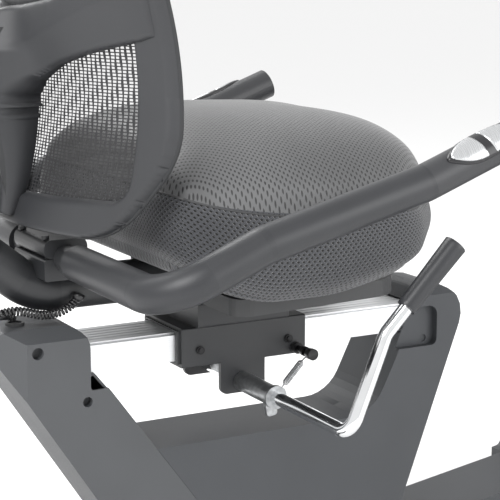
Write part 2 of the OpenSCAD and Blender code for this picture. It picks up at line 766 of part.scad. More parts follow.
// Places its children on the mast's leaning middle line at a height
module on_mast(z) translate([mast_x(z), 0, z]) rotate([0, mast_tilt, 0]) children();

front_bar_z = mast_top_z - 100;
front_bar_x = mast_x(front_bar_z) - mast_d / 2 - 20;
front_bar_r = 14;
FRONT_BAR = [
    [front_bar_x - 106, -front_bar_reach, front_bar_z + 55], [front_bar_x, -front_bar_reach, front_bar_z],
    [front_bar_x, front_bar_reach, front_bar_z], [front_bar_x - 106, front_bar_reach, front_bar_z + 55]
];
module front_handlebar() color("#303236") bent_tube(FRONT_BAR, front_bar_r, 45, front_bar_r - 2);

module front_grips() color("#1b1c1e") both_sides() {
    a = FRONT_BAR[0];
    d = unit(FRONT_BAR[1] - a);
    along(a, d) linear_extrude(58) ring(front_bar_r + 4, front_bar_r);
    along(a - d * 6, d) linear_extrude(6) circle(front_bar_r + 4);
}

// The clamp for the front handlebar and the plate that carries the console
module console_bracket() color("#26272a") {
    difference() {
        union() {
            on_mast(front_bar_z) translate([0, 0, -25]) cylinder(r = mast_d / 2 + 7, h = 50);
            prism_y(rect(front_bar_x - front_bar_r - 7, mast_x(front_bar_z), front_bar_z - 21, front_bar_z + 21, 6), -26, 26);
        }
        on_mast(front_bar_z) translate([0, 0, -60]) cylinder(r = mast_d / 2, h = 120);
        rod_y(front_bar_x, front_bar_z, front_bar_r, -30, 30);
    }
    difference() {
        union() {
            on_mast(mast_top_z) translate([0, 0, -45]) cylinder(r = mast_d / 2 + 6, h = 44);
            console_frame() box(console_back_x, console_back_x + 6, -55, 55, -console_h / 2 - 10, -console_h / 2 + 84);
            on_mast(mast_top_z) box(-mast_d / 2 - 2, mast_d / 2 + 2, -30, 30, -14, 8);
        }
        on_mast(mast_top_z) translate([0, 0, -60]) cylinder(r = mast_d / 2, h = 60);
    }
}

// The console's own frame: its face looks to -X and leans back
console_back_x = 22;
console_foot = [console_back_x + 3, -console_h / 2 - 6];
console_at = [
    mast_x(mast_top_z) + 5 - console_foot[0] * cos(console_tilt) - console_foot[1] * sin(console_tilt),
    0,
    mast_top_z + 8 + console_foot[0] * sin(console_tilt) - console_foot[1] * cos(console_tilt)
];
module console_frame() translate(console_at) rotate([0, console_tilt, 0]) children();
function console_outline(d) = rect(
    d - console_w / 2, console_w / 2 - d, d - console_h / 2, console_h / 2 - d, 28 - d
);

module console_back_shell() color("#2c2e31") console_frame() difference() {
    prism_x(console_outline(0), -8, console_back_x);
    prism_x(console_outline(cover_wall), -9, console_back_x - cover_wall);
}
screen_w = 190;
screen_h = 112;
screen_z = 24;
function screen_outline(d) = rect(
    d - screen_w / 2, screen_w / 2 - d, screen_z - screen_h / 2 + d, screen_z + screen_h / 2 - d, 5
);
module console_front_shell() color("#24262a") console_frame() {
    difference() {
        prism_x(console_outline(0), -22, -8);
        prism_x(console_outline(cover_wall), -19, -7);
        prism_x(screen_outline(0), -23, -18);
    }
    // Keys under the screen, moulded with the face
    for (i = [-3:3])
        prism_x(rect(i * 30 - 9, i * 30 + 9, -66, -54, 4), -24, -22);
    // A ledge for a book or tablet
    prism_y(rounded([[-60, -92, 4], [-21, -92, 0], [-21, -86, 0], [-54, -86, 0], [-54, -78, 0], [-60, -78, 2]]), -90, 90);
}
module console_screen() color("#0d1418") console_frame() prism_x(screen_outline(0), -21.5, -19);

module bottle_holder() color("#1b1c1e") {
    z = mast_bend_z + 120;
    cup_x = mast_x(z + 100) - mast_d / 2 - 51;
    difference() {
        union() {
            on_mast(z + 40) translate([0, 0, -20]) cylinder(r = mast_d / 2 + 5, h = 40);
            translate([cup_x, 0, z]) cylinder(r = 45, h = 100);
            box(cup_x, mast_x(z), -12, 12, z + 24, z + 56);
        }
        translate([cup_x, 0, z + 5]) cylinder(r = 41, h = 100);
        on_mast(z + 40) translate([0, 0, -60]) cylinder(r = mast_d / 2, h = 120);
    }
}

// The socket on the rear head where the pulse cord plugs in
module cord_socket() color("#17181a") {
    e = CORD_POINTS[len(CORD_POINTS) - 1];
    difference() {
        translate([e[0], e[1], head_top]) cylinder(r = 11, h = 3);
        translate([e[0], e[1], head_top + 1]) cylinder(r = 8, h = 3);
    }
}

// ---- carriage ----

tab_x0 = carriage_x - 32.5;
tab_x1 = carriage_x + 27.5;
BOLTS = [[carriage_x - 60.3, rail_z + 13.1], [carriage_x + 60, rail_z + 13.5]];
SPRING_POST = [carriage_x + 70, rail_z + 1];
module carriage_frame() color("#232528") {
    x0 = carriage_x - carriage_length / 2;
    x1 = carriage_x + carriage_length / 2;
    w = carriage_half_w;
    inner = rail_w / 2 + 6;
    difference() {
        union() {
            prism_x(rect(-w, w, rail_z - 7.1, carriage_top, 2), x0, x1);
            for (side = [-1, 1]) prism_y(rounded([
                [tab_x0, rail_z - 4, 0], [tab_x0, rail_z - 46, 9], [tab_x1, rail_z - 46, 3], [tab_x1, rail_z - 4, 0]
            ]), side * (w - 3) - 3, side * (w - 3) + 3);
        }
        prism_x(rect(-inner, inner, rail_z - 3.1, rail_top + 2.4), x0 - 1, x1 + 1);
        box(axle_x - 20.4, axle_x + 20.4, -16.4, 16.4, rail_z - 10, rail_z - 2);
        rod_y(axle_x, axle_z, lever_r + running_gap, -w - 1, w + 1);
        for (b = BOLTS) both_sides() rod_y(b[0], b[1], 3 + running_gap, -w - 1, 1 - inner);
    }
}

// Plastic sleeves that glide on the rail, one in each end of the carriage
module glide_bushes() color("#0f1012") {
    inner = rail_w / 2 + 6;
    for (x = [carriage_x - carriage_length / 2 - 3, carriage_x + carriage_length / 2 - 27]) difference() {
        prism_x(rect(-inner, inner, rail_z - 3.1, rail_top + 2.4), x, x + 30);
        prism_x(rect(
            -rail_w / 2 - glide_gap, rail_w / 2 + glide_gap, rail_z - glide_gap, rail_top + glide_gap
        ), x - 1, x + 31);
    }
}

// Socket screws in the sleeve's sides, and the stepped post that holds the lever's spring
module carriage_bolts() color("#141517") {
    w = carriage_half_w;
    for (b = BOLTS) both_sides() {
        rod_y(b[0], b[1], 3, 0.6 - w - (carriage_wall - 1), -w);
        difference() {
            rod_y(b[0], b[1], 5, -w - 3, -w);
            rod_y(b[0], b[1], 2.5, -w - 4, -w - 1);
        }
    }
    rod_y(SPRING_POST[0], SPRING_POST[1], 7, -w - 8, -w);
    rod_y(SPRING_POST[0], SPRING_POST[1], 4, -w - 34, -w);
    rod_y(SPRING_POST[0], SPRING_POST[1], 6, -w - 26, -w - 20);
    rod_y(SPRING_POST[0], SPRING_POST[1], 7, -w - 44, -w - 34);
}

// ---- lever ----

// The lever's rod: an axle through the carriage's tabs, bent up into the handle
grip_end = [carriage_x + 123, -lever_reach, rail_z + 158];
handle_bend = [carriage_x + 40, -lever_reach, rail_z + 74];
grip_length = 82;
function lever_path() = [
    [axle_x, carriage_half_w + 10, axle_z], [axle_x, -lever_reach, axle_z], handle_bend, grip_end
];
module lever_rod() color("#c4c6c8") {
    bent_tube(lever_path(), lever_r, 20);
    rod_y(axle_x, axle_z, lever_r + 4, carriage_half_w + 0.5, carriage_half_w + 4);
}

// The tube round the axle with the spring's lug, and the eccentric under the rail
lug = [axle_x + 21, axle_z - 3];
cam_y = 14;
cam_r = 14;
cam_offset = 8;
cam_angle = 30;
cam_top = axle_z + cam_offset * cos(cam_angle) + cam_r;
module lever_sleeve() color("#85888a") {
    w = carriage_half_w;
    difference() {
        union() {
            rod_y(axle_x, axle_z, lever_r + 4, -w - 78, -w - 0.5);
            prism_y(rounded([
                [axle_x, axle_z - 6, 0], [lug[0] + 5, lug[1] - 5, 4], [lug[0] + 5, lug[1] + 5, 4], [axle_x, axle_z + 8, 0]
            ]), -w - 60, -w - 55);
            prism_y(rounded([
                [axle_x - 6, axle_z, 0], [axle_x - 2, axle_z - 28, 4], [axle_x + 12, axle_z - 26, 4], [axle_x + 8, axle_z, 0]
            ]), -w - 66, -w - 60);
        }
        rod_y(axle_x, axle_z, lever_r, -w - 90, 0);
    }
    rod_y_ring(lever_r + 6, -w - 84, -w - 78);
    // Eccentric between the tabs
    difference() {
        rod_y(axle_x + cam_offset * sin(cam_angle), axle_z + cam_offset * cos(cam_angle), cam_r, -cam_y, cam_y);
        rod_y(axle_x, axle_z, lever_r, -cam_y - 1, cam_y + 1);
    }
}
module rod_y_ring(r, y0, y1) difference() {
    rod_y(axle_x, axle_z, r, y0, y1);
    rod_y(axle_x, axle_z, lever_r, y0 - 1, y1 + 1);
}

module lever_grip() color("#26272a") {
    d = unit(grip_end - handle_bend);
    along(grip_end - d * grip_length, d) difference() {
        cylinder(r1 = grip_d / 2 - 1.5, r2 = grip_d / 2 + 0.5, h = grip_length + 8);
        translate([0, 0, -1]) cylinder(r = lever_r, h = grip_length + 1);
    }
}

// The return spring between its post and the lug, as the tube that its coils fill
spring_top = [SPRING_POST[0] - 6, -carriage_half_w - 30, SPRING_POST[1] - 8];
spring_low = [lug[0] + 6, -carriage_half_w - 52, lug[1] + 6];
module lever_spring() color("#9a9da1")
    along(spring_low, spring_top - spring_low) linear_extrude(norm(spring_top - spring_low)) ring(4, 2.6);

// A steel block that the eccentric presses up against the rail
module clamp_pad() color("#6d7074")
    box(axle_x - 20, axle_x + 20, -16, 16, cam_top + 0.3, rail_z - 0.3);

// ---- seat ----

module seat_bracket() color("#232528") {
    x0 = carriage_x - 66.5;
    x1 = carriage_x + 56.5;
    difference() {
        prism_x(rect(-60, 60, carriage_top, seat_base_z, 4), x0, x1);
        prism_x(rect(-52, 52, carriage_top - 1, seat_base_z - 5), x0 + 5, x1 - 5);
    }
    // The socket plate that the seat post is welded to
    box(post_hole_x, post_hole_x + 14, -36, 36, seat_base_z, seat_base_z + 48);
    box(post_hole_x, x0 + 10, -36, 36, seat_base_z - 4, seat_base_z);
}

module seat_pan() color("#1d1e20") {
    x0 = post_hole_x + 16;
    prism_z(rounded([
        [x0, -seat_width * 0.36, 20], [seat_front_x - 60, -seat_width * 0.3, 50],
        [seat_front_x - 60, seat_width * 0.3, 50], [x0, seat_width * 0.36, 20]
    ]), seat_base_z, seat_base_z + 20);
}

// A crowned cushion: its side profile cut to its plan
module seat_cushion() color("#333538") {
    z = seat_base_z;
    mid = (seat_rear_x + seat_front_x) / 2;
    difference() {
        intersection() {
            prism_y(rounded([
                [seat_rear_x + 4, z + 76, 18], [seat_rear_x + 60, z + 34, 80], [mid - 60, z + 20.5, 100],
                [mid + 60, z + 22, 120], [seat_front_x - 40, z + 60, 90], [seat_front_x, z + 108, 24],
                [seat_front_x - 6, z + 194, 40], [mid, z + 216, 600], [seat_rear_x, z + 188, 26]
            ]), -seat_width / 2, seat_width / 2);
            prism_z(rounded([
                [seat_rear_x, -seat_width / 2, 60], [mid - 40, -seat_width / 2, 200],
                [seat_front_x - 30, -seat_width * 0.4, 70], [seat_front_x, -seat_width * 0.25, 60],
                [seat_front_x, seat_width * 0.25, 60], [seat_front_x - 30, seat_width * 0.4, 70],
                [mid - 40, seat_width / 2, 200], [seat_rear_x, seat_width / 2, 60]
            ]), z, z + 240);
        }
        box(seat_rear_x - 10, post_hole_x + 16, -40, 40, z, z + 52);
        prism_z(rounded([
            [post_hole_x + 15, -seat_width * 0.36 - 1, 20], [seat_front_x - 59, -seat_width * 0.3 - 1, 50],
            [seat_front_x - 59, seat_width * 0.3 + 1, 50], [post_hole_x + 15, seat_width * 0.36 + 1, 20]
        ]), z - 1, z + 20.3);
    }
}

function post_path() = [
    [post_hole_x, 0, post_z], [bar_x - 22, 0, post_z], [bar_x - 98, 0, post_z + 62], [bar_x - 118, 0, post_z + 345]
];
module back_post() color("#26272a") {
    p = post_path();
    bent_tube(p, post_r, 70, post_r - tube_wall);
    along(p[3], p[3] - p[2]) translate([0, 0, -8]) cylinder(r = post_r - tube_wall / 2, h = 11);
}

// Two halves that clamp the side handlebar on the seat post
module handlebar_saddle() color("#1b1c1e") {
    top = post_z + post_r;
    for (half = [0, 1]) difference() {
        if (half == 0) prism_y(rect(bar_x - 26, bar_x + 26, top - 6, bar_z - 0.3, 3), -48, 48);
        else prism_y(rect(bar_x - 26, bar_x + 26, bar_z + 0.3, bar_z + bar_r + 7, 9), -48, 48);
        rod_y(bar_x, bar_z, bar_r, -50, 50);
        translate([bar_x - 40, 0, post_z]) rotate([0, 90, 0]) cylinder(r = post_r, h = 80);
        for (dx = [-20, 20], y = [-36, 36]) translate([bar_x + dx, y, bar_z - 10]) cylinder(r = 2.5, h = 60);
    }
    for (dx = [-20, 20], y = [-36, 36]) translate([bar_x + dx, y, bar_z + bar_r + 7]) cylinder(r = 4.5, h = 4);
}

bar_bend = 52;
function bar_half() = [
    [bar_x, -bar_reach, bar_z], [bar_x + 112, -bar_reach, bar_z + 47], [bar_x + 306, -bar_reach, bar_z + 97],
    [bar_x + 446.5, -bar_reach, bar_z + 149.4]
];
function mirrored(p) = [for (i = [len(p) - 1:-1:0]) [p[i][0], -p[i][1], p[i][2]]];
module side_handlebar() color("#26272a")
    bent_tube(concat(mirrored(bar_half()), bar_half()), bar_r, bar_bend, bar_r - 2);

module handlebar_covers() color("#2e3033") both_sides() {
    bent_tube(concat([[bar_x, -82, bar_z]], bar_half()), cover_r, bar_bend, bar_r);
    p = bar_half();
    last = p[len(p) - 1];
    along(last, last - p[len(p) - 2]) cylinder(r = cover_r, h = 7);
}

// Steel pulse plates in a plastic bezel, clipped round the covered bar
module pulse_sensors() color("#b5b8ba") both_sides() {
    p = bar_half();
    d = unit(p[3] - p[2]);
    along(p[2] + d * 26, d) difference() {
        linear_extrude(84) ring(cover_r + 2.5, cover_r);
        translate([-40, -60, -1]) cube([80, 50, 90]);
    }
}

// ---- backrest ----

// The shell bulges forward at the lumbar and wraps round the rider: a ring swept about an axis
// behind it, then carried straight up along the lean
lumbar_x = carriage_x - 162.5;
lumbar_z = seat_base_z + 256;
lumbar_r = 450;
lean_angle = 12;
low_angle = 28;
wrap_r = 400;
back_low_z = seat_base_z + 104;
mesh_front = 1;
shell_front = 5;
shell_back = 13;
back_ease = 0.35;
dish = wrap_r - sqrt(wrap_r * wrap_r - back_width * back_width / 4);

// A layer's section across the bike, as a distance from the sweep's axis. The layers lie one
// behind the other round one centre
module wrap_section(near, far, ease = 0) {
    width = back_width + 30;
    intersection() {
        translate([lumbar_r + wrap_r - dish, 0]) difference() {
            circle(wrap_r + far - ease, $fn = 128);
            circle(wrap_r + near + ease, $fn = 128);
        }
        translate([lumbar_r - dish - 60, -width / 2]) square([dish + 160, width]);
    }
}
module back_sweep(near, far) {
    translate([lumbar_x - lumbar_r, 0, lumbar_z]) {
        rotate([90, 0, 0]) rotate([0, 0, -low_angle]) rotate_extrude(angle = low_angle + lean_angle) wrap_section(near, far);
        rotate([0, -lean_angle, 0]) translate([0, 0, -1]) linear_extrude(back_height) wrap_section(near, far, back_ease);
    }
}
function back_outline(d) =
    let (w = back_width / 2 - d, z0 = back_low_z + d, z1 = back_low_z + back_height - d)
    rounded([
        [-w + 50, z0, 60], [w - 50, z0, 60], [w, z0 + 90, 110], [w - 8, z1 - 80, 90], [w - 90, z1, 110],
        [90 - w, z1, 110], [8 - w, z1 - 80, 90], [-w, z0 + 90, 110]
    ]);
function window(y0, y1, z0, z1, r) = rounded([[y0, z0, r], [y1, z0, r], [y1, z1, r], [y0, z1, r]]);

module backrest_shell() color("#2c2e31") {
    z0 = back_low_z;
    w = back_width / 2;
    difference() {
        intersection() {
            back_sweep(shell_front, shell_back);
            prism_x(back_outline(0), lumbar_x - 260, lumbar_x + 60);
        }
        prism_x(rounded([
            [45 - w, z0 + 42, 22], [w - 45, z0 + 42, 22], [w - 45, z0 + 211, 14], [0, z0 + 141, 160], [45 - w, z0 + 211, 14]
        ]), lumbar_x - 270, lumbar_x + 70);
        prism_x(window(55 - w, w - 55, z0 + 264, z0 + back_height - 45, 60), lumbar_x - 270, lumbar_x + 70);
    }
}

// The tensioned mesh that the rider leans on, held by its own rim in front of the shell
module backrest_mesh() color("#1c1d1f") intersection() {
    back_sweep(mesh_front, shell_front);
    prism_x(back_outline(10), lumbar_x - 260, lumbar_x + 60);
}

// Steel bracket from the post to the shell's middle band, with a rib down the shell's back
module backrest_bracket() color("#1b1c1e") {
    z = back_low_z + 192;
    p = post_path();
    front_x = lumbar_x - dish - 11;
    rib_x = lumbar_x - dish - 40;
    difference() {
        union() {
            prism_y([
                [bar_x - 107, z - 28], [front_x, z - 28], [front_x - 4, z + 28], [bar_x - 107, z + 28]
            ], -30, 30);
            prism_y([
                [rib_x - 4, back_low_z + 12], [rib_x + 4, back_low_z + 12], [rib_x + 19, back_low_z + 86],
                [rib_x + 24, z - 20], [rib_x - 34, z - 20]
            ], -22, 22);
        }
        along(p[2], p[3] - p[2]) cylinder(r = post_r, h = norm(p[3] - p[2]) + 20);
    }
}

// ---- the pulse cord ----

// A round tube swept along the route's points
module swept_cord(p, r, sides) {
    n = len(p);
    rings = [for (i = [0:n - 1])
        let (
            d = unit(p[min(i + 1, n - 1)] - p[max(i - 1, 0)]),
            a = unit(cross(d, [0.3, 1, 0.2])),
            b = cross(d, a)
        )
        for (k = [0:sides - 1]) p[i] + r * (cos(360 * k / sides) * a + sin(360 * k / sides) * b)];
    walls = [for (i = [0:n - 2], k = [0:sides - 1])
        [i * sides + k, i * sides + (k + 1) % sides, (i + 1) * sides + (k + 1) % sides, (i + 1) * sides + k]];
    polyhedron(rings, concat([[for (k = [sides - 1:-1:0]) k]], walls, [[for (k = [0:sides - 1]) (n - 1) * sides + k]]));
}
module curly_cord() color("#1a1a1b") swept_cord(CORD_POINTS, cord_r, 10);

// ---- the assembly ----

base_beam();
rear_post();
front_post();
rear_stabilizer();
front_stabilizer();
rear_end_caps();
front_end_caps();
levelling_feet();
drive_frame();
crank_bearings();
seat_rail();
rail_end_plugs();
rear_cover_right();
rear_cover_left();
base_cover_right();
base_cover_left();
drive_cover_right();
drive_cover_left();
mast_boot();
console_mast();
console_bracket();
console_back_shell();
console_front_shell();
console_screen();
front_handlebar();
front_grips();
bottle_holder();
brake_motor();
drive_belt();
cord_socket();
carriage_frame();
glide_bushes();
carriage_bolts();
seat_bracket();
seat_pan();
seat_cushion();
back_post();
handlebar_saddle();
side_handlebar();
handlebar_covers();
pulse_sensors();
backrest_bracket();
backrest_shell();
backrest_mesh();
curly_cord();
lever_rod();
lever_sleeve();
lever_grip();
lever_spring();
clamp_pad();
crank_axle();
crank_arms();
crank_pulley();
pedal_right();
pedal_left();
flywheel();
idler_pulley();
magnet_arm();
wheel_right();
wheel_left();
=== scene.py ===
import math
import bpy
import numpy as np
from mathutils import Matrix, Vector


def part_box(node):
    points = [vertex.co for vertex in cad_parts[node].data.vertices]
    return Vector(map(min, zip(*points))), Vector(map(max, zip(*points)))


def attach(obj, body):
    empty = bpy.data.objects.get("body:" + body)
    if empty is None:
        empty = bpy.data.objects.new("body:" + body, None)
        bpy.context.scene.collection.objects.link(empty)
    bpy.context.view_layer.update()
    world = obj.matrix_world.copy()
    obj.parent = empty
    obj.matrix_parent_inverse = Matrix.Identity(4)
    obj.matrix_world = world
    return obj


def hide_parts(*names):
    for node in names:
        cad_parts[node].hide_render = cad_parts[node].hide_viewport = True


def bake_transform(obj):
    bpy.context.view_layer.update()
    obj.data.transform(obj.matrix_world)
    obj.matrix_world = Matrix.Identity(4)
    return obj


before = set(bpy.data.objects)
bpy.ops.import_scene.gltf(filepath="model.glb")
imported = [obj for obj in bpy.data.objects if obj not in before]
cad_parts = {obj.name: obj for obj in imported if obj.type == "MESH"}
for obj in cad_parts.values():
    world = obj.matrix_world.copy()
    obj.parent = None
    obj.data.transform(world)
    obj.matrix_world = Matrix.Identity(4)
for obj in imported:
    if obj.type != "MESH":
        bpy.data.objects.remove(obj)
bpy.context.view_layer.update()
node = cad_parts

# ---- where it is looked at from ----
# The seat is seen from behind the rider's right hip, a little above the cushion,
# with a long lens, so the rail runs up across the view.
camera = bpy.data.objects.new("camera", bpy.data.cameras.new("camera"))
camera.data.sensor_width = 36
camera.data.lens = 113.8
camera.location = (-1.2226, -1.6768, 0.8578)
look = Vector((0.4687, 0.8632, -0.1874))
side = look.cross(Vector((0, 0, 1))).normalized()
facing = Matrix((side, side.cross(look), -look)).transposed().to_4x4()
camera.matrix_world = Matrix.Translation(camera.location) @ facing
bpy.context.scene.collection.objects.link(camera)
bpy.context.scene.camera = camera
bpy.context.scene.view_settings.view_transform = "Standard"


# ---- pulse cord ----
# A rubber-jacketed lead wound into a tight curl, so that it stretches as the seat slides.
# It leaves the seat post through an oval gland and goes down into the rear cover.
def finish(name, colour, roughness, metallic=0.0, **shader_sockets):
    made = bpy.data.materials.new(name)
    made.use_nodes = True
    shader = made.node_tree.nodes["Principled BSDF"]
    shader.inputs["Base Color"].default_value = (*colour, 1)
    shader.inputs["Roughness"].default_value = roughness
    shader.inputs["Metallic"].default_value = metallic
    for socket, value in shader_sockets.items():
        shader.inputs[socket.replace("_", " ")].default_value = value
    made.diffuse_color = (*colour, 1)
    return made


def add(tree, kind, *sources, **settings):
    """The first output of a new shader node. Each source, a value or another node's output, is
    for its inputs in turn, and None leaves one alone."""
    made = tree.nodes.new("ShaderNode" + kind)
    for setting, value in settings.items():
        setattr(made, setting, value)
    for socket, source in zip(made.inputs, sources):
        if isinstance(source, bpy.types.NodeSocket):
            tree.links.new(source, socket)
        elif source is not None:
            socket.default_value = source
    return made.outputs[0]


def output_of(tree, kind, name):
    """The named output of a new shader node that needs no inputs."""
    return tree.nodes.new("ShaderNode" + kind).outputs[name]


def effect(name, inputs):
    """A shader node group that gives a colour, a roughness and a height, with the sockets inside it."""
    made = bpy.data.node_groups.new(name, "ShaderNodeTree")
    for label, kind, value in inputs:
        socket = made.interface.new_socket(label, in_out="INPUT", socket_type="NodeSocket" + kind)
        socket.default_value = value
    for label, kind in (("Colour", "Color"), ("Roughness", "Float"), ("Height", "Float")):
        made.interface.new_socket(label, in_out="OUTPUT", socket_type="NodeSocket" + kind)
    return made, made.nodes.new("NodeGroupInput").outputs, made.nodes.new("NodeGroupOutput").inputs


def place(made, group, bump=0.0, bump_distance=0.001, **values):
    """Puts an effect into a material. Its height goes through a Bump node when bump isn't 0."""
    tree = made.node_tree
    shader = tree.nodes["Principled BSDF"]
    effect_node = tree.nodes.new("ShaderNodeGroup")
    effect_node.node_tree = group
    for label, value in values.items():
        effect_node.inputs[label.replace("_", " ")].default_value = value
    tree.links.new(effect_node.outputs["Colour"], shader.inputs["Base Color"])
    tree.links.new(effect_node.outputs["Roughness"], shader.inputs["Roughness"])
    if bump:
        bumped = tree.nodes.new("ShaderNodeBump")
        bumped.inputs["Strength"].default_value = bump
        bumped.inputs["Distance"].default_value = bump_distance
        tree.links.new(effect_node.outputs["Height"], bumped.inputs["Height"])
        tree.links.new(bumped.outputs["Normal"], shader.inputs["Normal"])
    return made


def piece(name, points_mm, faces, finish_of_it, smooth=True):
    """A mesh piece from points in millimetres."""
    mesh = bpy.data.meshes.new(name)
    mesh.from_pydata([tuple(p) for p in np.asarray(points_mm, float) / 1000], [], faces)
    mesh.validate()
    mesh.polygons.foreach_set("use_smooth", [smooth] * len(mesh.polygons))
    mesh.materials.append(finish_of_it)
    made = bpy.data.objects.new(name, mesh)
    bpy.context.scene.collection.objects.link(made)
    return made


OFF_AXIS = [0.31, 0.87, 0.2]  # not along any tube's first stretch


def tube_of(line_mm, radius, sides):
    """Points and faces of a round tube along a line. radius may be one number or one for each point."""
    line = np.asarray(line_mm, float)
    radius = np.broadcast_to(radius, len(line))
    along = np.gradient(line, axis=0)
    along /= np.linalg.norm(along, axis=1)[:, None]
    across = np.cross(along[0], OFF_AXIS)
    points, faces = [], []
    angles = np.arange(sides) * 2 * math.pi / sides
    for here, forward, r in zip(line, along, radius):
        across = across - forward * (across @ forward)
        across /= np.linalg.norm(across)
        other = np.cross(forward, across)
        points += [here + r * (math.cos(a) * across + math.sin(a) * other) for a in angles]
    for near in range(0, (len(line) - 1) * sides, sides):
        for k in range(sides):
            after = (k + 1) % sides
            faces.append((near + k, near + after, near + sides + after, near + sides + k))
    faces += [tuple(range(sides))[::-1], tuple(range((len(line) - 1) * sides, len(line) * sides))]
    return points, faces


def wound_round(line_mm, radius, pitch, per_turn, straight_ends):
    """The line of a coil wound round another line, with a straight lead at each end."""
    line = np.asarray(line_mm, float)
    far = np.concatenate([[0], np.cumsum(np.linalg.norm(np.diff(line, axis=0), axis=1))])
    turns = (far[-1] - 2 * straight_ends) / pitch
    at = np.linspace(0, far[-1], int(turns * per_turn) + 1)
    fine = np.stack([np.interp(at, far, line[:, k]) for k in range(3)], axis=1)
    smoothing_passes = 6
    for _ in range(smoothing_passes):
        fine[1:-1] = (fine[:-2] + 2 * fine[1:-1] + fine[2:]) / 4
    along = np.gradient(fine, axis=0)
    along /= np.linalg.norm(along, axis=1)[:, None]
    across, out = np.cross(along[0], OFF_AXIS), []
    lead = straight_ends * 0.4
    for here, forward, s in zip(fine, along, at):
        across = across - forward * (across @ forward)
        across /= np.linalg.norm(across)
        turn = 2 * math.pi * s / pitch
        r = radius * min(1, max(0, (min(s, far[-1] - s) - lead) / straight_ends))
        out.append(here + r * (math.cos(turn) * across + math.sin(turn) * np.cross(forward, across)))
    return np.array(out)


cord_route = [
    (-553, -30, 466), (-558, -31, 460), (-566, -32, 455), (-576, -32, 451), (-587, -32, 449.5),
    (-598, -32, 450), (-609, -31, 453), (-619, -30, 456), (-629, -28, 457.5), (-638, -25, 456),
    (-642, -20, 453), (-641, -14, 450.5), (-636, -9, 449), (-630, -6, 448), (-624, -5, 446),
    (-621, -5, 443), (-620.5, -5, 441), (-620.5, -5, 439.3)]
lead_thickness = 3.3
curl_line = wound_round(cord_route, radius=3.9, pitch=4.1, per_turn=14, straight_ends=5)
cord_rubber = finish("cord_rubber", (0.012, 0.012, 0.013), 0.28, Coat_Weight=0.25, Coat_Roughness=0.2)
curl = piece("pulse_cord_curl", *tube_of(curl_line, lead_thickness / 2, 8), cord_rubber)
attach(curl, "carriage")
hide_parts("curly_cord")
gland_line = np.array([(-551, -29.5, 469), (-553, -30.5, 465), (-555.5, -31.5, 461.5)])
gland_radii = [7.5, 6.8, 3.4]
gland = piece("cord_gland", *tube_of(gland_line, gland_radii, 20), cord_rubber)
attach(gland, "carriage")


# ---- steel base and drive frame ----
# Square tube welded into an I, with flattened posts for the rail and a mast root in front.
# It has a satin black powder coat, which shows a fine orange peel and rubs grey on its edges.
def aged(group, colour, value, low, high):
    """colour multiplied by low where the mask value is 0 and by high where it is 1."""
    ends = [add(group, "MixRGB", 1.0, colour, (share,) * 3 + (1,), blend_type="MULTIPLY") for share in (low, high)]
    return add(group, "MixRGB", value, *ends)


def shaded(group, colour, spread, operation):
    """colour multiplied by 1 - spread or 1 + spread, as operation says."""
    share = add(group, "Math", 1.0, spread, operation=operation)
    return add(group, "MixRGB", 1.0, colour, add(group, "CombineColor", share, share, share), blend_type="MULTIPLY")


def spread_round(group, value, mask, spread):
    """value moved up or down by a share of spread, as the mask lies above or below its middle."""
    off_middle = add(group, "Math", mask, 0.5, operation="SUBTRACT")
    return add(group, "Math", value, add(group, "Math", off_middle, spread, operation="MULTIPLY"), operation="ADD")


rubbed_grey = (0.22, 0.22, 0.22, 1)
skin, given, out = effect("surface_skin", [
    ("Base", "Color", (0.1, 0.1, 0.1, 1)), ("Base roughness", "Float", 0.5), ("Grain per metre", "Float", 900.0),
    ("Shade spread", "Float", 0.15), ("Rubbed edges", "Float", 0.3), ("Gloss spread", "Float", 0.1)])
where = output_of(skin, "TexCoord", "Object")
grain = add(skin, "TexNoise", where, None, given["Grain per metre"], 3.0)
handled = add(skin, "TexNoise", where, None, 9.0, 4.0)
edge = add(skin, "MapRange", output_of(skin, "NewGeometry", "Pointiness"), 0.52, 0.62, 0.0, 1.0)
edge = add(skin, "Math", edge, given["Rubbed edges"], operation="MULTIPLY")
dark = shaded(skin, given["Base"], given["Shade spread"], "SUBTRACT")
light = shaded(skin, given["Base"], given["Shade spread"], "ADD")
mottle = add(skin, "Math", *[add(skin, "Math", noise, 0.5, operation="MULTIPLY") for noise in (grain, handled)],
             operation="ADD")
mottle = add(skin, "MapRange", mottle, 0.35, 0.65, 0.0, 1.0)
skin.links.new(add(skin, "MixRGB", edge, add(skin, "MixRGB", mottle, dark, light), rubbed_grey), out["Colour"])
skin.links.new(spread_round(skin, given["Base roughness"], handled, given["Gloss spread"]), out["Roughness"])
skin.links.new(grain, out["Height"])


def dress(made, *names, bevel=0.0):
    """Gives CAD nodes a finish, and rounds their edges by bevel millimetres."""
    weld_within, sharpest_left = 0.00002, math.radians(34)
    for name in names:
        o = node[name]
        o.data.materials.clear()
        o.data.materials.append(made)
        if bevel:
            weld = o.modifiers.new("weld", "WELD")
            weld.merge_threshold = weld_within
            round_off = o.modifiers.new("round_off", "BEVEL")
            round_off.width = bevel / 1000
            round_off.segments = 2
            round_off.limit_method = "ANGLE"
            round_off.angle_limit = sharpest_left
            round_off.harden_normals = True


def skinned(name, colour, roughness, bump=0.0, bump_distance=0.001, base_roughness=None, sockets=None, **values):
    """A material with the surface skin of one colour."""
    return place(finish(name, colour, roughness, **(sockets or {})), skin, bump, bump_distance, Base=(*colour, 1),
                 Base_roughness=roughness if base_roughness is None else base_roughness, **values)


black_paint = skinned("black_powder_coat", (0.018, 0.019, 0.021), 0.42, bump=0.12, bump_distance=0.0004,
                      Grain_per_metre=700.0, Shade_spread=0.12, Rubbed_edges=0.1, Gloss_spread=0.12)
dress(black_paint, "base_beam", "rear_post", "front_post", "rear_stabilizer", "front_stabilizer", "drive_frame")

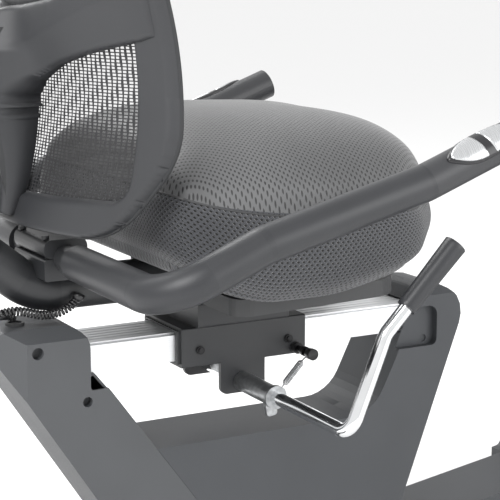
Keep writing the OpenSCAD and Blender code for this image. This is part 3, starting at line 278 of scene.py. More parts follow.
# ---- end caps, feet and wheels ----
# Moulded caps close the cross tubes. The rear ones stand on screw-down rubber feet, and the
# front ones carry hard wheels on steel pins, for tipping the bike up and rolling it.
cap_plastic = skinned("black_moulding", (0.022, 0.023, 0.025), 0.5, bump=0.25, bump_distance=0.0003,
                      Grain_per_metre=2200.0, Shade_spread=0.16, Rubbed_edges=0.12, Gloss_spread=0.16)
black_rubber = skinned("matt_rubber", (0.016, 0.016, 0.016), 0.78, bump=0.2, bump_distance=0.0004,
                       Grain_per_metre=1400.0, Shade_spread=0.25, Rubbed_edges=0.2, Gloss_spread=0.1)
dress(cap_plastic, "rear_end_caps", "front_end_caps", "rail_end_plugs", "cord_socket")
dress(black_rubber, "levelling_feet", "wheel_right", "wheel_left", "mast_boot", "drive_belt")

# ---- covers ----
# Two-part plastic shells, right and left, screwed together over the base, posts and drive.
# They are dark grey with a fine spark-eroded grain that dulls every highlight.
cover_grain = skinned("cover_plastic", (0.042, 0.045, 0.05), 0.5, bump=0.3, bump_distance=0.0003, base_roughness=0.52,
                      Grain_per_metre=2600.0, Shade_spread=0.14, Rubbed_edges=0.1, Gloss_spread=0.1)
dress(cover_grain, "rear_cover_right", "rear_cover_left", "base_cover_right", "base_cover_left", "drive_cover_right",
      "drive_cover_left", bevel=1.2)

# ---- seat rail ----
# An extruded aluminium box, clear anodised, with a groove along its top edges that the glides
# run in. Drawing leaves fine lines along its whole length.
drawn, given, out = effect("drawn_lines", [
    ("Base", "Color", (0.8, 0.8, 0.8, 1)), ("Base roughness", "Float", 0.3),
    ("Lines per metre", "Vector", (3.0, 900.0, 900.0)), ("Contrast", "Float", 0.12)])
where = output_of(drawn, "TexCoord", "Object")
stretched = add(drawn, "VectorMath", where, given["Lines per metre"], operation="MULTIPLY")
streak = add(drawn, "TexNoise", stretched, None, 1.0, 4.0)
darker = shaded(drawn, given["Base"], given["Contrast"], "SUBTRACT")
drawn.links.new(add(drawn, "MixRGB", add(drawn, "MapRange", streak, 0.35, 0.65), darker, given["Base"]), out["Colour"])
drawn.links.new(spread_round(drawn, given["Base roughness"], streak, 0.2), out["Roughness"])
drawn.links.new(streak, out["Height"])
anodised = place(finish("anodised_rail", (0.78, 0.79, 0.8), 0.36, 0.85), drawn, bump=0.15, bump_distance=0.0002,
                 Base=(0.8, 0.81, 0.82, 1), Base_roughness=0.38, Lines_per_metre=(2.0, 1200.0, 1200.0), Contrast=0.1)
dress(anodised, "seat_rail", bevel=0.5)

# ---- carriage ----
# A folded steel box that slides on the rail on plastic glides, held by cap screws from both
# sides. Its tabs carry the lever's axle, and a stepped post beside them holds the spring.
dress(black_paint, "carriage_frame", "seat_bracket", bevel=0.6)
dress(cap_plastic, "glide_bushes", "seat_pan")
black_oxide = skinned("black_oxide", (0.012, 0.012, 0.013), 0.3, bump=0.05, sockets={"metallic": 0.6},
                      Grain_per_metre=1500.0, Shade_spread=0.3, Rubbed_edges=0.5, Gloss_spread=0.2)
dress(black_oxide, "carriage_bolts", bevel=0.4)

# ---- lever ----
# A bent chromed rod under the seat's right edge with a vinyl grip. It turns in a zinc-plated
# sleeve between the tabs, and a wire spring pulls it back.
chrome = place(finish("chrome", (0.82, 0.83, 0.84), 0.1, 1.0), drawn, bump=0.02, Base=(0.82, 0.83, 0.84, 1),
               Base_roughness=0.1, Lines_per_metre=(40.0, 40.0, 40.0), Contrast=0.05)
dress(chrome, "lever_rod")
zinc = place(finish("zinc_plate", (0.42, 0.43, 0.44), 0.36, 0.9), drawn, bump=0.1, Base=(0.42, 0.43, 0.44, 1),
             Base_roughness=0.38, Lines_per_metre=(160.0, 160.0, 160.0), Contrast=0.35)
dress(zinc, "lever_sleeve", "clamp_pad", "crank_bearings", "idler_pulley", "magnet_arm", bevel=0.4)
vinyl = skinned("dipped_vinyl", (0.02, 0.021, 0.024), 0.42, bump=0.22, bump_distance=0.0005, base_roughness=0.4,
                Grain_per_metre=900.0, Shade_spread=0.14, Rubbed_edges=0.05, Gloss_spread=0.14)
dress(vinyl, "lever_grip", bevel=0.8)

spring_from = np.array((-283.5, -82, 370.5))
spring_to = np.array((-324, -104, 348.5))
spring_line = np.linspace(spring_from, spring_to, 40)
coil = wound_round(spring_line, radius=3.4, pitch=2.6, per_turn=12, straight_ends=5)
hook_top = np.array([(-277.5, -82, 374), (-279.5, -82, 373.4), (-281.5, -82, 372)])
hook_low = np.array([(-326, -105, 347), (-329, -107, 344.5), (-331, -109, 343)])
wire_radius = 0.8
spring_wire = place(finish("spring_wire", (0.55, 0.56, 0.57), 0.25, 1.0), drawn, Base=(0.55, 0.56, 0.57, 1),
                    Base_roughness=0.25, Lines_per_metre=(200.0, 200.0, 200.0), Contrast=0.3)
spring = piece("return_spring", *tube_of(np.concatenate([hook_top, coil, hook_low]), wire_radius, 8), spring_wire)
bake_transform(spring)
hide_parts("lever_spring")


# ---- seat cushion ----
# A thick foam block under a perforated leatherette top, sewn all round to side walls of black
# spacer mesh. The foam crowns the top well above the seam and rounds the walls out.
def rounded(corners):
    """A closed outline through corners, each (a, b, radius), as points about 4 mm apart."""
    points = []
    to_corner, to_ends = 0.9, 0.05
    for i, (a, b, r) in enumerate(corners):
        here = np.array((a, b), float)
        back = np.array(corners[i - 1][:2], float) - here
        ahead = np.array(corners[(i + 1) % len(corners)][:2], float) - here
        u, v = back / np.linalg.norm(back), ahead / np.linalg.norm(ahead)
        half = math.acos(max(-1, min(1, float(u @ v)))) / 2
        reach = min(r / math.tan(half), np.linalg.norm(back) * 0.5, np.linalg.norm(ahead) * 0.5)
        start, end = here + u * reach, here + v * reach
        steps = max(2, int(reach / 3))
        for t in np.linspace(0, 1, steps + 1):
            pull = here * to_corner + (start + end) * to_ends
            points.append((1 - t) ** 2 * start + 2 * t * (1 - t) * pull + t ** 2 * end)
    return np.array(points)


def evenly(outline, count, first):
    """count points evenly along a closed outline, from the one nearest to first, and its length."""
    start = int(np.argmin(np.linalg.norm(outline - np.array(first), axis=1)))
    loop = np.concatenate([outline[start:], outline[:start + 1]])
    far = np.concatenate([[0], np.cumsum(np.linalg.norm(np.diff(loop, axis=0), axis=1))])
    at = np.linspace(0, far[-1], count + 1)[:-1]
    return np.stack([np.interp(at, far, loop[:, k]) for k in range(2)], axis=1), far[-1]


seat_plan = rounded([
    (-515, -212, 62), (-330, -213, 300), (-206, -204, 60), (-128, -112, 70), (-117, 0, 300),
    (-128, 112, 70), (-206, 204, 60), (-330, 213, 300), (-515, 212, 62)])
cells = 44
edge_ring, seat_round = evenly(seat_plan, 4 * cells, (-515, -212))
if edge_ring[1][0] < edge_ring[0][0]:
    edge_ring = np.roll(edge_ring[::-1], 1, axis=0)
sides_of = [np.array([edge_ring[(k * cells + i) % (4 * cells)] for i in range(cells + 1)]) for k in range(4)]


def seam_height(x):
    """The top seam dips from the backrest to the middle of the thigh and stays level to the front."""
    t = np.clip((x + 512) / 360, 0, 1)
    return 603 - 38 * (1 - (1 - t) ** 3.4)


def base_height(x):
    """The lower edge hangs lowest under the hips and rises to the front and the rear."""
    return 477 + 50 * np.clip((-385 - x) / 130, 0, 1) ** 1.6 + 44 * np.clip((x + 320) / 200, 0, 1) ** 1.4


def patch(i, j):
    """A point of the plan inside its outline, from its place in the grid."""
    u, v = i / cells, j / cells
    low, right, top, left = sides_of[0][i], sides_of[1][j], sides_of[2][cells - i], sides_of[3][cells - j]
    shares = ((1 - u) * (1 - v), u * (1 - v), u * v, (1 - u) * v)
    corner = sum(share * side_of[0] for share, side_of in zip(shares, sides_of))
    return (1 - v) * low + v * top + (1 - u) * left + u * right - corner


def crowned(i, j):
    """A point of the top: highest behind the middle, flat-shouldered, with a dip between the thighs."""
    x, y = patch(i, j)
    u, v = 2 * i / cells - 1, 2 * j / cells - 1
    rise = (1 - abs(u) ** 3.2) ** 0.62 * (1 - abs(v) ** 2.6) ** 0.63
    lengthwise = 109 - 5 * ((x + 265) / 150) ** 2
    dip = 9 * math.exp(-(y / 60) ** 2) * math.exp(-((x + 160) / 110) ** 2)
    return x, y, float(seam_height(x)) + rise * (lengthwise - dip)


cushion_points, cushion_faces, top_index, low_index = [], [], {}, {}
for i in range(cells + 1):
    for j in range(cells + 1):
        top_index[i, j] = len(cushion_points)
        cushion_points.append(crowned(i, j))
ring = [(i, 0) for i in range(cells)] + [(cells, j) for j in range(cells)]
ring += [(cells - i, cells) for i in range(cells)] + [(0, cells - j) for j in range(cells)]
wall_rows, swell_out, tuck_in, tuck_from = 13, 7, 16, 0.72
centre = np.array((-320.0, 0.0))
rings = [[top_index[c] for c in ring]]
for row in range(1, wall_rows + 1):
    t = row / wall_rows
    made_ring = []
    for c in ring:
        x, y = patch(*c)
        out_dir = np.array((x, y)) - centre
        out_dir /= np.linalg.norm(out_dir)
        swell = swell_out * math.sin(math.pi * min(1, t * 1.02)) ** 0.7
        swell -= tuck_in * max(0, (t - tuck_from) / 0.28) ** 2
        high, low = float(seam_height(x)), float(base_height(x))
        made_ring.append(len(cushion_points))
        cushion_points.append((x + out_dir[0] * swell, y + out_dir[1] * swell, high + (low - high) * t))
    rings.append(made_ring)
for c, at in zip(ring, rings[-1]):
    low_index[c] = at
base_share, base_sag = 0.95, 3
for i in range(1, cells):
    for j in range(1, cells):
        x, y = centre + (patch(i, j) - centre) * base_share
        low_index[i, j] = len(cushion_points)
        cushion_points.append((x, y, float(base_height(x)) - base_sag))
wall_faces = []
for i in range(cells):
    for j in range(cells):
        corners = ((i, j), (i + 1, j), (i + 1, j + 1), (i, j + 1))
        cushion_faces.append(tuple(top_index[c] for c in corners))
for upper, lower in zip(rings, rings[1:]):
    for k in range(4 * cells):
        wall_faces.append((upper[k], lower[k], lower[(k + 1) % (4 * cells)], upper[(k + 1) % (4 * cells)]))
base_faces = [tuple(low_index[c] for c in ((i, j), (i, j + 1), (i + 1, j + 1), (i + 1, j)))
              for i in range(cells) for j in range(cells)]


def staggered(group, spot, across_pitch, along_pitch):
    """How far a flat spot is, each way, from the middle of its cell. Each row is shifted half a cell from the last."""
    pitches = add(group, "CombineXYZ", across_pitch, along_pitch, 1.0)
    parts = group.nodes.new("ShaderNodeSeparateXYZ")
    group.links.new(add(group, "VectorMath", spot, pitches, operation="DIVIDE"), parts.inputs[0])
    shift = add(group, "Math", add(group, "Math", parts.outputs["Y"], operation="FLOOR"), 0.5, operation="MULTIPLY")
    shifted = add(group, "Math", parts.outputs["X"], shift, operation="ADD")
    return [add(group, "Math", add(group, "Math", part, operation="FRACT"), 0.5, operation="SUBTRACT")
            for part in (shifted, parts.outputs["Y"])]


pierced, given, out = effect("pierced_leatherette", [
    ("Base", "Color", (0.1, 0.1, 0.1, 1)), ("Hole", "Color", (0.01, 0.01, 0.01, 1)), ("Pitch", "Float", 0.0042),
    ("Hole share", "Float", 0.17)])
where = output_of(pierced, "TexCoord", "Object")
turned = add(pierced, "VectorRotate", where, rotation_type="Z_AXIS")
pierced.nodes[-1].inputs["Angle"].default_value = math.radians(24)
du, dv = staggered(pierced, turned, given["Pitch"], given["Pitch"])
add(pierced, "VectorMath", add(pierced, "CombineXYZ", du, dv, 0.0), operation="LENGTH")
off_hole = pierced.nodes[-1].outputs["Value"]
hole_end = add(pierced, "Math", given["Hole share"], 0.12, operation="ADD")
hole = add(pierced, "MapRange", off_hole, given["Hole share"], hole_end, 1.0, 0.0)
pebble = add(pierced, "TexVoronoi", where, None, 420.0)
stretch = add(pierced, "TexNoise", where, None, 7.0, 3.0)
worn = aged(pierced, given["Base"], add(pierced, "MapRange", stretch, 0.35, 0.7), 1.0, 1.3)
pierced.links.new(add(pierced, "MixRGB", hole, worn, given["Hole"]), out["Colour"])
pierced.links.new(add(pierced, "MapRange", stretch, 0.3, 0.7, 0.36, 0.5), out["Roughness"])
pebbled = add(pierced, "Math", pebble, 0.3, operation="MULTIPLY")
pierced.links.new(add(pierced, "Math", pebbled, hole, operation="SUBTRACT"), out["Height"])
leatherette = place(finish("perforated_leatherette", (0.085, 0.086, 0.088), 0.42, Sheen_Weight=0.15), pierced,
                    bump=0.5, bump_distance=0.0008, Base=(0.085, 0.086, 0.088, 1), Hole=(0.012, 0.012, 0.013, 1),
                    Pitch=0.0044, Hole_share=0.2)

spacer, given, out = effect("spacer_fabric", [
    ("Yarn", "Color", (0.03, 0.03, 0.035, 1)), ("Gap", "Color", (0.003, 0.003, 0.003, 1)), ("Pitch", "Float", 0.0062)])
flat_place = output_of(spacer, "TexCoord", "UV")
row_pitch = add(spacer, "Math", given["Pitch"], 0.62, operation="MULTIPLY")
du, dv = [add(spacer, "Math", off, operation="ABSOLUTE")
          for off in staggered(spacer, flat_place, given["Pitch"], row_pitch)]
diamond = add(spacer, "Math", du, add(spacer, "Math", dv, 0.8, operation="MULTIPLY"), operation="ADD")
gap = add(spacer, "MapRange", diamond, 0.26, 0.4, 1.0, 0.0)
twist = add(spacer, "TexNoise", flat_place, None, 1600.0, 2.0)
yarn = aged(spacer, given["Yarn"], add(spacer, "MapRange", twist, 0.35, 0.65), 0.6, 1.5)
spacer.links.new(add(spacer, "MixRGB", gap, yarn, given["Gap"]), out["Colour"])
spacer.links.new(add(spacer, "MapRange", gap, 0.0, 1.0, 0.62, 0.95), out["Roughness"])
twisted = add(spacer, "Math", twist, 0.25, operation="MULTIPLY")
spacer.links.new(add(spacer, "Math", twisted, gap, operation="SUBTRACT"), out["Height"])
side_mesh = place(finish("spacer_mesh", (0.03, 0.032, 0.037), 0.65, Sheen_Weight=0.3), spacer, bump=0.9,
                  bump_distance=0.0016, Yarn=(0.036, 0.038, 0.044, 1), Gap=(0.002, 0.002, 0.002, 1), Pitch=0.0066)

cushion = piece("seat_cushion_cover", cushion_points, cushion_faces + wall_faces + base_faces, leatherette)
cushion.data.materials.append(side_mesh)
n_top = len(cushion_faces)
uv = cushion.data.uv_layers.new(name="UVMap")
step, drop = seat_round / (4 * cells) / 1000, 0.0075
for number, face in enumerate(cushion.data.polygons):
    face.material_index = 0 if number < n_top else 1
    if n_top <= number < n_top + len(wall_faces):
        row, k = divmod(number - n_top, 4 * cells)
        for loop, (right, down) in zip(face.loop_indices, ((0, 0), (0, 1), (1, 1), (1, 0))):
            uv.data[loop].uv = ((k + right) * step, -(row + down) * drop)
    else:
        for loop in face.loop_indices:
            at = cushion.data.vertices[cushion.data.loops[loop].vertex_index].co
            uv.data[loop].uv = (at.x, at.y)


def filled_out(soft, pinned, pressure, cap):
    """Blows a cover up against its pinned points with cloth simulation. No point moves more than cap metres."""
    last_frame = 20
    start = np.array([v.co for v in soft.data.vertices])
    pins = soft.vertex_groups.new(name="pins")
    pins.add(pinned, 1.0, "REPLACE")
    cloth = soft.modifiers.new("cloth", "CLOTH")
    cloth.settings.quality = 6
    cloth.settings.mass = 0.3
    cloth.settings.tension_stiffness = 22
    cloth.settings.compression_stiffness = 22
    cloth.settings.shear_stiffness = 12
    cloth.settings.bending_stiffness = 2
    cloth.settings.use_pressure = True
    cloth.settings.uniform_pressure_force = pressure
    cloth.settings.vertex_group_mass = "pins"
    cloth.settings.effector_weights.gravity = 0
    cloth.point_cache.frame_start, cloth.point_cache.frame_end = 1, last_frame
    for number in range(1, last_frame + 1):
        bpy.context.scene.frame_set(number)
    seen = soft.evaluated_get(bpy.context.evaluated_depsgraph_get())
    moved = np.array([v.co for v in seen.data.vertices]) - start
    bpy.context.scene.frame_set(1)
    soft.modifiers.remove(cloth)
    soft.vertex_groups.remove(pins)
    far = np.linalg.norm(moved, axis=1)[:, None]
    moved *= np.minimum(1, cap / np.maximum(far, 1e-9))
    for v, new in zip(soft.data.vertices, start + moved):
        v.co = new


base_inside = [low_index[i, j] for i in range(1, cells) for j in range(1, cells)]
filled_out(cushion, sorted(set(rings[0] + rings[-1] + base_inside)), pressure=4.0, cap=0.006)
cushion.data.update()
seam_tuck = 0.0022
for at in rings[0]:
    v = cushion.data.vertices[at]
    v.co -= v.normal * seam_tuck
smoother = cushion.modifiers.new("fine", "SUBSURF")
smoother.levels = smoother.render_levels = 1
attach(cushion, "carriage")
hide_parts("seat_cushion")

piping_lift, piping_radius = 0.4, 1.3
on_seam = [cushion.data.vertices[at] for at in rings[0]]
piping_line = [np.array(v.co) * 1000 + np.array(v.normal) * piping_lift for v in on_seam]
piping_line.append(piping_line[0])
seam_thread = skinned("seam_cord", (0.02, 0.021, 0.023), 0.6, Grain_per_metre=2500.0)
piping = piece("cushion_seam", *tube_of(piping_line, piping_radius, 8), seam_thread)
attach(piping, "carriage")

# ---- seat post, handlebar and its grips ----
# The bent post rises behind the cushion. A two-part clamp on it holds one bent tube, which
# runs round the hips, and closed-cell foam with a dipped skin covers both its arms.
dress(black_paint, "back_post", "backrest_bracket", "side_handlebar")
dress(black_paint, "handlebar_saddle", bevel=0.6)
dress(vinyl, "handlebar_covers", "front_grips")

# ---- pulse sensors ----
# Two stainless plates with a gap between them sit in a pointed plastic bezel, snapped round
# the covered bar on its upper outer side, where the palms rest.
def distance_inside(outline):
    """A function that gives how far inside a closed outline each flat point is; outside is negative."""
    at_once = 4000
    a = np.asarray(outline, float)
    b = np.roll(a, -1, axis=0)
    edge_of = b - a
    long_sq = np.maximum((edge_of ** 2).sum(1), 1e-9)

    def inside(p):
        result = np.empty(len(p))
        for at in range(0, len(p), at_once):
            q = p[at:at + at_once]
            rel = q[:, None, :] - a[None]
            t = np.clip((rel * edge_of).sum(2) / long_sq, 0, 1)
            far = np.sqrt(((rel - t[..., None] * edge_of) ** 2).sum(2)).min(1)
            spans = (a[None, :, 1] > q[:, None, 1]) != (b[None, :, 1] > q[:, None, 1])
            slope = edge_of[:, 0] / np.where(np.abs(edge_of[:, 1]) < 1e-9, 1e-9, edge_of[:, 1])
            crosses = spans & (q[:, None, 0] < a[None, :, 0] + (q[:, None, 1] - a[None, :, 1]) * slope)
            result[at:at + at_once] = np.where(crosses.sum(1) % 2 == 1, far, -far)
        return result
    return inside


def plate(name, inside, low, high, step, back, front, finish_of_it):
    """A plate cut to a shape. back and front turn flat points, and how far inside the edge each
    is, into points in millimetres."""
    nu, nv = int((high[0] - low[0]) / step) + 1, int((high[1] - low[1]) / step) + 1
    probe = 0.05
    us, vs = np.meshgrid(np.linspace(low[0], high[0], nu), np.linspace(low[1], high[1], nv), indexing="ij")
    flat = np.stack([us.ravel(), vs.ravel()], axis=1)
    deep = inside(flat)
    near = np.abs(deep) < 0.5 * step
    for _ in range(3):
        p = flat[near]
        d = inside(p)
        slope = np.stack([inside(p + (probe, 0)) - d, inside(p + (0, probe)) - d], axis=1)
        slope /= np.maximum(np.linalg.norm(slope, axis=1)[:, None], 1e-6)
        flat[near] = p - slope * d[:, None]
    deep[near] = 0
    kept = deep >= 0
    cells_kept = []
    for i in range(nu - 1):
        for j in range(nv - 1):
            first = i * nv + j
            corners = [k for k in (first, first + nv, first + nv + 1, first + 1) if kept[k]]
            if len(corners) >= 3:
                cells_kept.append(tuple(corners))
    used = sorted(set(k for c in cells_kept for k in c))
    place_of = {k: n for n, k in enumerate(used)}
    flat, deep = flat[used], deep[used]
    count = len(used)
    points = np.concatenate([back(flat, deep), front(flat, deep)])
    faces = [tuple(place_of[k] for k in c) for c in cells_kept]
    seen = {}
    for c in faces:
        for k in range(len(c)):
            e = (c[k], c[(k + 1) % len(c)])
            seen[tuple(sorted(e))] = None if tuple(sorted(e)) in seen else e
    walls = [(e[1], e[0], e[0] + count, e[1] + count) for e in seen.values() if e]
    faces += [tuple(k + count for k in c)[::-1] for c in faces]
    return piece(name, points, faces + walls, finish_of_it)


brushed = place(finish("brushed_stainless", (0.66, 0.67, 0.68), 0.26, 1.0), drawn, bump=0.12, bump_distance=0.0002,
                Base=(0.68, 0.69, 0.7, 1), Base_roughness=0.27, Lines_per_metre=(1500.0, 60.0, 60.0), Contrast=0.12)
gloss_black = skinned("gloss_moulding", (0.016, 0.016, 0.018), 0.25, base_roughness=0.27, Grain_per_metre=600.0,
                      Shade_spread=0.08, Rubbed_edges=0.1, Gloss_spread=0.1)
bar_start = np.array((-267.0, -305.0, 613.0))
bar_along = np.array((126.0, 0.0, 47.0)) / math.hypot(126, 47)
sensor_middle = bar_start + bar_along * 76
sensor_out = np.array((0.0, -0.62, 0.78))
sensor_out -= bar_along * (sensor_out @ bar_along)
sensor_out /= np.linalg.norm(sensor_out)
sensor_across = np.cross(bar_along, sensor_out)
bar_radius = 20.5


def on_bar(flat, height, hand):
    """Flat points, in millimetres along and round the bar, laid on it at a height above its skin."""
    turn = flat[:, 1] / bar_radius
    out_dir = np.cos(turn)[:, None] * sensor_out + np.sin(turn)[:, None] * sensor_across
    at = sensor_middle + flat[:, :1] * bar_along + (bar_radius + np.reshape(height, (-1, 1))) * out_dir
    return at * (1, hand, 1)


def pointed(point, point_r, shoulder, half_wide, shoulder_r):
    """A six-cornered shape with a point at each end."""
    return distance_inside(rounded([
        (-point, 0, point_r), (-shoulder, -half_wide, shoulder_r), (shoulder, -half_wide, shoulder_r),
        (point, 0, point_r), (shoulder, half_wide, shoulder_r), (-shoulder, half_wide, shoulder_r)]))


bezel_shape = pointed(54, 6, 24, 19, 60)
plate_shape = pointed(48, 4, 22, 15.5, 56)
for hand, hand_name in ((1, "right"), (-1, "left")):
    bezel = plate("pulse_bezel_" + hand_name, bezel_shape, (-56, -20), (56, 20), 1.6,
                  lambda p, d: on_bar(p, 0.6 + 2.2 * np.sqrt(np.clip(d / 2.2, 0, 1)), hand),
                  lambda p, d: on_bar(p, -0.4 + 0 * d, hand), gloss_black)
    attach(bezel, "carriage")
    for half, half_name in ((-1, "rear"), (1, "front")):
        shape = lambda p: np.minimum(plate_shape(p), half * (p[:, 0] - 0.18 * p[:, 1]) - 5)
        plates = plate("pulse_plate_%s_%s" % (hand_name, half_name), shape, (-50, -17), (50, 17), 1.3,
                       lambda p, d: on_bar(p, 2.9 + 0.9 * np.sqrt(np.clip(d / 1.2, 0, 1)), hand),
                       lambda p, d: on_bar(p, 1.5 + 0 * d, hand), brushed)
        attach(plates, "carriage")
        if half == 1 and hand == 1:
            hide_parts("pulse_sensors")

# ---- backrest ----
# A moulded shell with two large windows, dished to the back and bowed out at the waist. A
# three-armed rib on its back takes the bolts, and an open net is stretched over its front.
back_width, back_low, back_tall = 466.0, 554.0, 496.0
waist_x, waist_z, waist_radius, dish_radius, dish = -960, 706, 450, 400, 74.86


def shell_x(y, z, deep):
    """How far forward the shell's layer at that depth lies, as the shell is swept in CAD."""
    r = waist_radius + dish_radius - dish - np.sqrt((dish_radius + deep) ** 2 - y ** 2)
    lean = math.radians(12)
    over = z - waist_z - r * math.sin(lean)
    low = waist_x + np.sqrt(np.maximum(r ** 2 - (z - waist_z) ** 2, 1))
    return np.where(over <= 0, low, waist_x + r * math.cos(lean) - over * math.tan(lean))


def on_shell(p, deep):
    """Flat points (across, up) laid on the shell's layer at that depth."""
    return np.stack([shell_x(p[:, 0], p[:, 1], deep), p[:, 0], p[:, 1]], axis=1)


def back_outline(inset):
    """The shell's outline from behind, set in all round."""
    w, z0, z1 = back_width / 2 - inset, back_low + inset, back_low + back_tall - inset
    return rounded([(50 - w, z0, 60), (w - 50, z0, 60), (w, z0 + 90, 110), (w - 8, z1 - 80, 90), (w - 90, z1, 110),
                    (90 - w, z1, 110), (8 - w, z1 - 80, 90), (-w, z0 + 90, 110)])


inside_shell = distance_inside(back_outline(2))
low_window = distance_inside(rounded([
    (-189, 598, 22), (0, 591, 300), (189, 598, 22), (190, 778, 10), (-190, 778, 10)]))
high_window = distance_inside(rounded([
    (-178, 838, 46), (0, 800, 260), (178, 838, 46), (172, 1004, 60), (-172, 1004, 60)]))
shell_plastic = skinned("shell_plastic", (0.03, 0.031, 0.034), 0.48, bump=0.35, bump_distance=0.0003,
                        base_roughness=0.46, Grain_per_metre=2400.0, Shade_spread=0.12, Rubbed_edges=0.1,
                        Gloss_spread=0.1)


def off_windows(p):
    """How far each flat point is from the nearer window's edge; inside a window is negative."""
    return -np.maximum(low_window(p), high_window(p))


def in_frame(p):
    return np.minimum(inside_shell(p), off_windows(p))


def frame_back(p, d):
    """The back of the frame: a raised rim with a groove inside it, and edges that roll into the windows."""
    rim_at = [0, 1.2, 3.5, 6.5, 9, 10.5, 12.5, 16, 42, 70]
    rim_depth = [3, 9, 15, 18.5, 19.5, 18.4, 18.6, 18.8, 13, 11]
    rolled = 5.5 + 7 * np.sqrt(np.clip(off_windows(p) / 5, 0, 1))
    return on_shell(p, np.minimum(np.interp(inside_shell(p), rim_at, rim_depth), rolled))


def frame_front(p, d):
    """The front of the frame, rounded forward within 6 mm of its edge."""
    return on_shell(p, 4.6 - 2.5 * np.clip((6 - inside_shell(p)) / 6, 0, 1))


shell = plate("backrest_frame", in_frame, (-234, 552), (234, 1051), 3.0, frame_back, frame_front, shell_plastic)
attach(shell, "carriage")
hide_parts("backrest_shell")

arch = ([0, 24, 30, 45, 86, 127, 166, 204, 226, 240], [640, 672, 700, 716, 736, 748, 757, 765, 773, 778])
crease = ([0, 60, 96, 163, 226], [748, 762, 776, 802, 822])
crown_line = ([0, 90, 178, 226], [794, 806, 838, 846])


def in_yoke(p):
    """How far inside the two arms and the spine each flat point is."""
    y = np.abs(p[:, 0])
    arm = np.minimum((p[:, 1] - np.interp(y, *arch)) * 0.93, (np.interp(y, *crown_line) - p[:, 1]) * 0.95)
    arm = np.minimum(arm, inside_shell(p) - 9.5)
    spine = np.minimum(np.minimum(24 - y, p[:, 1] - 566), 700 - p[:, 1])
    return np.maximum(arm, spine)


def yoke_back(p, d):
    """The back of the arms and the spine, melted into each other over about 12 mm, with a crease along the arms."""
    y, z = np.abs(p[:, 0]), p[:, 1]
    fold, under, over = np.interp(y, *crease), np.interp(y, *arch), np.interp(y, *crown_line)
    rise = np.where(z < fold, 0.45 + 0.55 * np.clip((z - under) / np.maximum(fold - under, 1), 0, 1),
                    1 - 0.9 * np.clip((z - fold) / np.maximum(over - fold, 1), 0, 1))
    arm_x = shell_x(p[:, 0], z, 14.0) - rise * (9 + 16 * np.exp(-(y / 80) ** 2)) * np.clip((236 - y) / 40, 0.25, 1)
    spine_x = np.where(z < 748, -642 - 0.225 * (z - 640), -666.3 + 0.75 * (z - 748))
    spine_x += 1.5 * np.clip(y - 20, 0, None) + 0.004 * y ** 2
    melt = 12
    x = np.where(np.abs(arm_x - spine_x) > 30 * melt, np.minimum(arm_x, spine_x),
                 -melt * np.logaddexp(-arm_x / melt, -spine_x / melt))
    round_off = np.sqrt(np.clip(d / 4, 0, 1))
    base = shell_x(p[:, 0], z, 9.0)
    return np.stack([base + (x - base) * (0.62 + 0.38 * round_off), p[:, 0], z], axis=1)


yoke = plate("backrest_yoke", in_yoke, (-228, 564), (228, 850), 2.6, yoke_back, lambda p, d: on_shell(p, 7.0),
             shell_plastic)
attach(yoke, "carriage")

net_yarn = skinned("net_yarn", (0.012, 0.012, 0.014), 0.55, sockets={"Sheen_Weight": 0.2}, Grain_per_metre=1800.0,
                   Shade_spread=0.3, Rubbed_edges=0.0, Gloss_spread=0.2)
column, course, cord_w, cord_h = 7.0, 3.6, 1.35, 0.62
in_net = distance_inside(back_outline(9))
columns, courses = int(446 / column), int(478 / course)
grid_y = (np.arange(columns + 1) - columns / 2) * column
grid_z = back_low + back_tall / 2 + (np.arange(courses + 1) - courses / 2) * course
corner_at = np.array([(y, z) for y in grid_y for z in grid_z])
corner_ok = in_net(corner_at) > 0
points, faces = [tuple(p) for p in corner_at], []
for i in range(columns):
    for j in range(courses):
        first = i * (courses + 1) + j
        outer = [first, first + courses + 1, first + courses + 2, first + 1]
        if all(corner_ok[k] for k in outer):
            inner = len(points)
            lean_over = 0.5 * math.sin(i * 1.7 + j * 0.9)
            left, right = grid_y[i] + cord_w + lean_over, grid_y[i + 1] - cord_w + lean_over
            bottom, top = grid_z[j] + cord_h, grid_z[j + 1] - cord_h
            points += [(left, bottom), (right, bottom), (right, top), (left, top)]
            faces += [(outer[k], outer[(k + 1) % 4], inner + (k + 1) % 4, inner + k) for k in range(4)]
flat_net = np.array(points)
used = sorted(set(k for f in faces for k in f))
renumber = {k: n for n, k in enumerate(used)}
waves = 0.5 * np.cos(flat_net[used][:, 0] * 2 * math.pi / column)
net = piece("backrest_net", on_shell(flat_net[used], 2.6 + waves), [tuple(renumber[k] for k in f) for f in faces],
            net_yarn)
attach(net, "carriage")
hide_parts("backrest_mesh")
binding_shape = distance_inside(back_outline(1))
binding_width = 13
binding = plate("net_binding", lambda p: np.minimum(binding_shape(p), binding_width - binding_shape(p)),
                (-234, 552), (234, 1051), 3.2, lambda p, d: on_shell(p, 4.4),
                lambda p, d: on_shell(p, 1.9 - 2.6 * np.sqrt(np.clip(d / 5, 0, 1))), seam_thread)
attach(binding, "carriage")

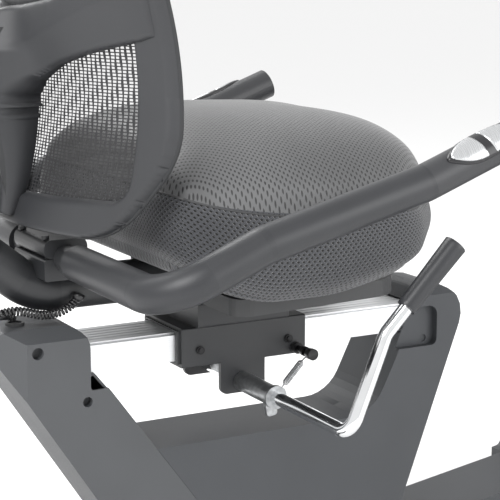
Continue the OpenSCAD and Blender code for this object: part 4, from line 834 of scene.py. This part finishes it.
# ---- mast, console and front handlebar ----
# A painted tube leans back to the console, which is two moulded shells round a display. The
# loop handlebar and the bottle cup clamp on the mast.
dress(black_paint, "console_mast", "console_bracket", "front_handlebar")
dress(cap_plastic, "bottle_holder", "console_back_shell", "console_front_shell", "brake_motor")
display_glass = skinned("display_glass", (0.008, 0.011, 0.012), 0.08, base_roughness=0.1, Grain_per_metre=300.0,
                        Shade_spread=0.1, Rubbed_edges=0.0, Gloss_spread=0.06,
                        sockets={"Coat_Weight": 0.6, "Coat_Roughness": 0.04})
dress(display_glass, "console_screen")
low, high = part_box("console_screen")
screen_middle = np.array((low + high) / 2) * 1000
tilt = math.radians(25)
screen_out = np.array((-math.cos(tilt), 0, math.sin(tilt)))
screen_up = np.array((math.sin(tilt), 0, math.cos(tilt)))
segments = place(finish("display_segments", (0.35, 0.4, 0.36), 0.4), drawn, Base=(0.35, 0.4, 0.36, 1),
                 Base_roughness=0.4, Lines_per_metre=(90.0, 90.0, 90.0), Contrast=0.1)
bars, stroke, long_way, short_way = [], 2.6, 18, 14
digits = ((1, 1, 1, 1, 1, 1, 0), (1, 1, 0, 1, 1, 0, 1), (0, 1, 1, 0, 0, 1, 1), (1, 0, 1, 1, 0, 1, 1))
for digit, lit in enumerate(digits):
    left = -58 + digit * 30 + (8 if digit > 1 else 0)
    strokes = [(left, 58, long_way, stroke), (left + 16, 46, stroke, short_way), (left + 16, 30, stroke, short_way),
               (left, 28, long_way, stroke), (left, 30, stroke, short_way), (left, 46, stroke, short_way),
               (left, 43.5, long_way, stroke)]
    bars += [s for s, on in zip(strokes, lit) if on]
bars += [(-1, 50, stroke, stroke), (-1, 38, stroke, stroke)]
bars += [(-74 + k * 10, -30, 6.5, 6 + 26 * abs(math.sin(0.55 * k + 0.4))) for k in range(15)]
points, faces = [], []
for left, low_edge, wide, tall in bars:
    start = len(points)
    for a, b in ((left, low_edge), (left + wide, low_edge), (left + wide, low_edge + tall), (left, low_edge + tall)):
        points.append(screen_middle + screen_out * 1.5 + screen_up * b * 0.75 + np.array((0, -a, 0)))
    faces.append((start, start + 1, start + 2, start + 3))
readout = piece("display_readout", points, faces, segments, smooth=False)
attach(readout, "frame")

# ---- cranks, pedals and flywheel ----
# Forged arms on a steel axle turn a moulded pulley, whose belt drives an iron flywheel inside
# the covers. The pedals are wide moulded platforms with a strap.
forged = skinned("forged_arm", (0.1, 0.1, 0.105), 0.36, bump=0.15, sockets={"metallic": 0.7}, Grain_per_metre=800.0,
                 Shade_spread=0.2, Rubbed_edges=0.6, Gloss_spread=0.2)
dress(forged, "crank_arms", "crank_axle", bevel=0.8)
dress(cap_plastic, "crank_pulley", "pedal_right", "pedal_left")
turned_iron = place(finish("turned_iron", (0.16, 0.16, 0.165), 0.4, 0.9), drawn, bump=0.2, Base=(0.16, 0.16, 0.165, 1),
                    Base_roughness=0.42, Lines_per_metre=(500.0, 20.0, 500.0), Contrast=0.3)
dress(turned_iron, "flywheel")

# ---- floor and light ----
# A plain pale floor, a white room and three large soft lamps: one high on the left, one low
# on the right, and one above behind, which draws the soft highlights along the bars.
floor_finish = finish("pale_floor", (0.9, 0.9, 0.9), 0.9)
far = 60000
floor = piece("floor", [(-far, -far, -1), (far, -far, -1), (far, far, -1), (-far, far, -1)], [(0, 1, 2, 3)],
              floor_finish, smooth=False)
world = bpy.data.worlds.new("white_room")
world.use_nodes = True
world.node_tree.nodes["Background"].inputs["Color"].default_value = (1, 1, 1, 1)
world.node_tree.nodes["Background"].inputs["Strength"].default_value = 1.0
bpy.context.scene.world = world
seat_middle = Vector((-0.35, 0, 0.5))
for name, place_at, size, power in (
        ("key", (-2.6, -1.6, 2.6), 1.8, 90), ("fill", (1.8, -3.0, 1.6), 2.2, 60), ("rim", (-1.0, 2.2, 2.8), 2.0, 70)):
    lamp = bpy.data.objects.new(name, bpy.data.lights.new(name, "AREA"))
    lamp.data.size = size
    lamp.data.energy = power
    lamp.location = place_at
    lamp.rotation_euler = (seat_middle - Vector(place_at)).to_track_quat("-Z", "Y").to_euler()
    bpy.context.scene.collection.objects.link(lamp)
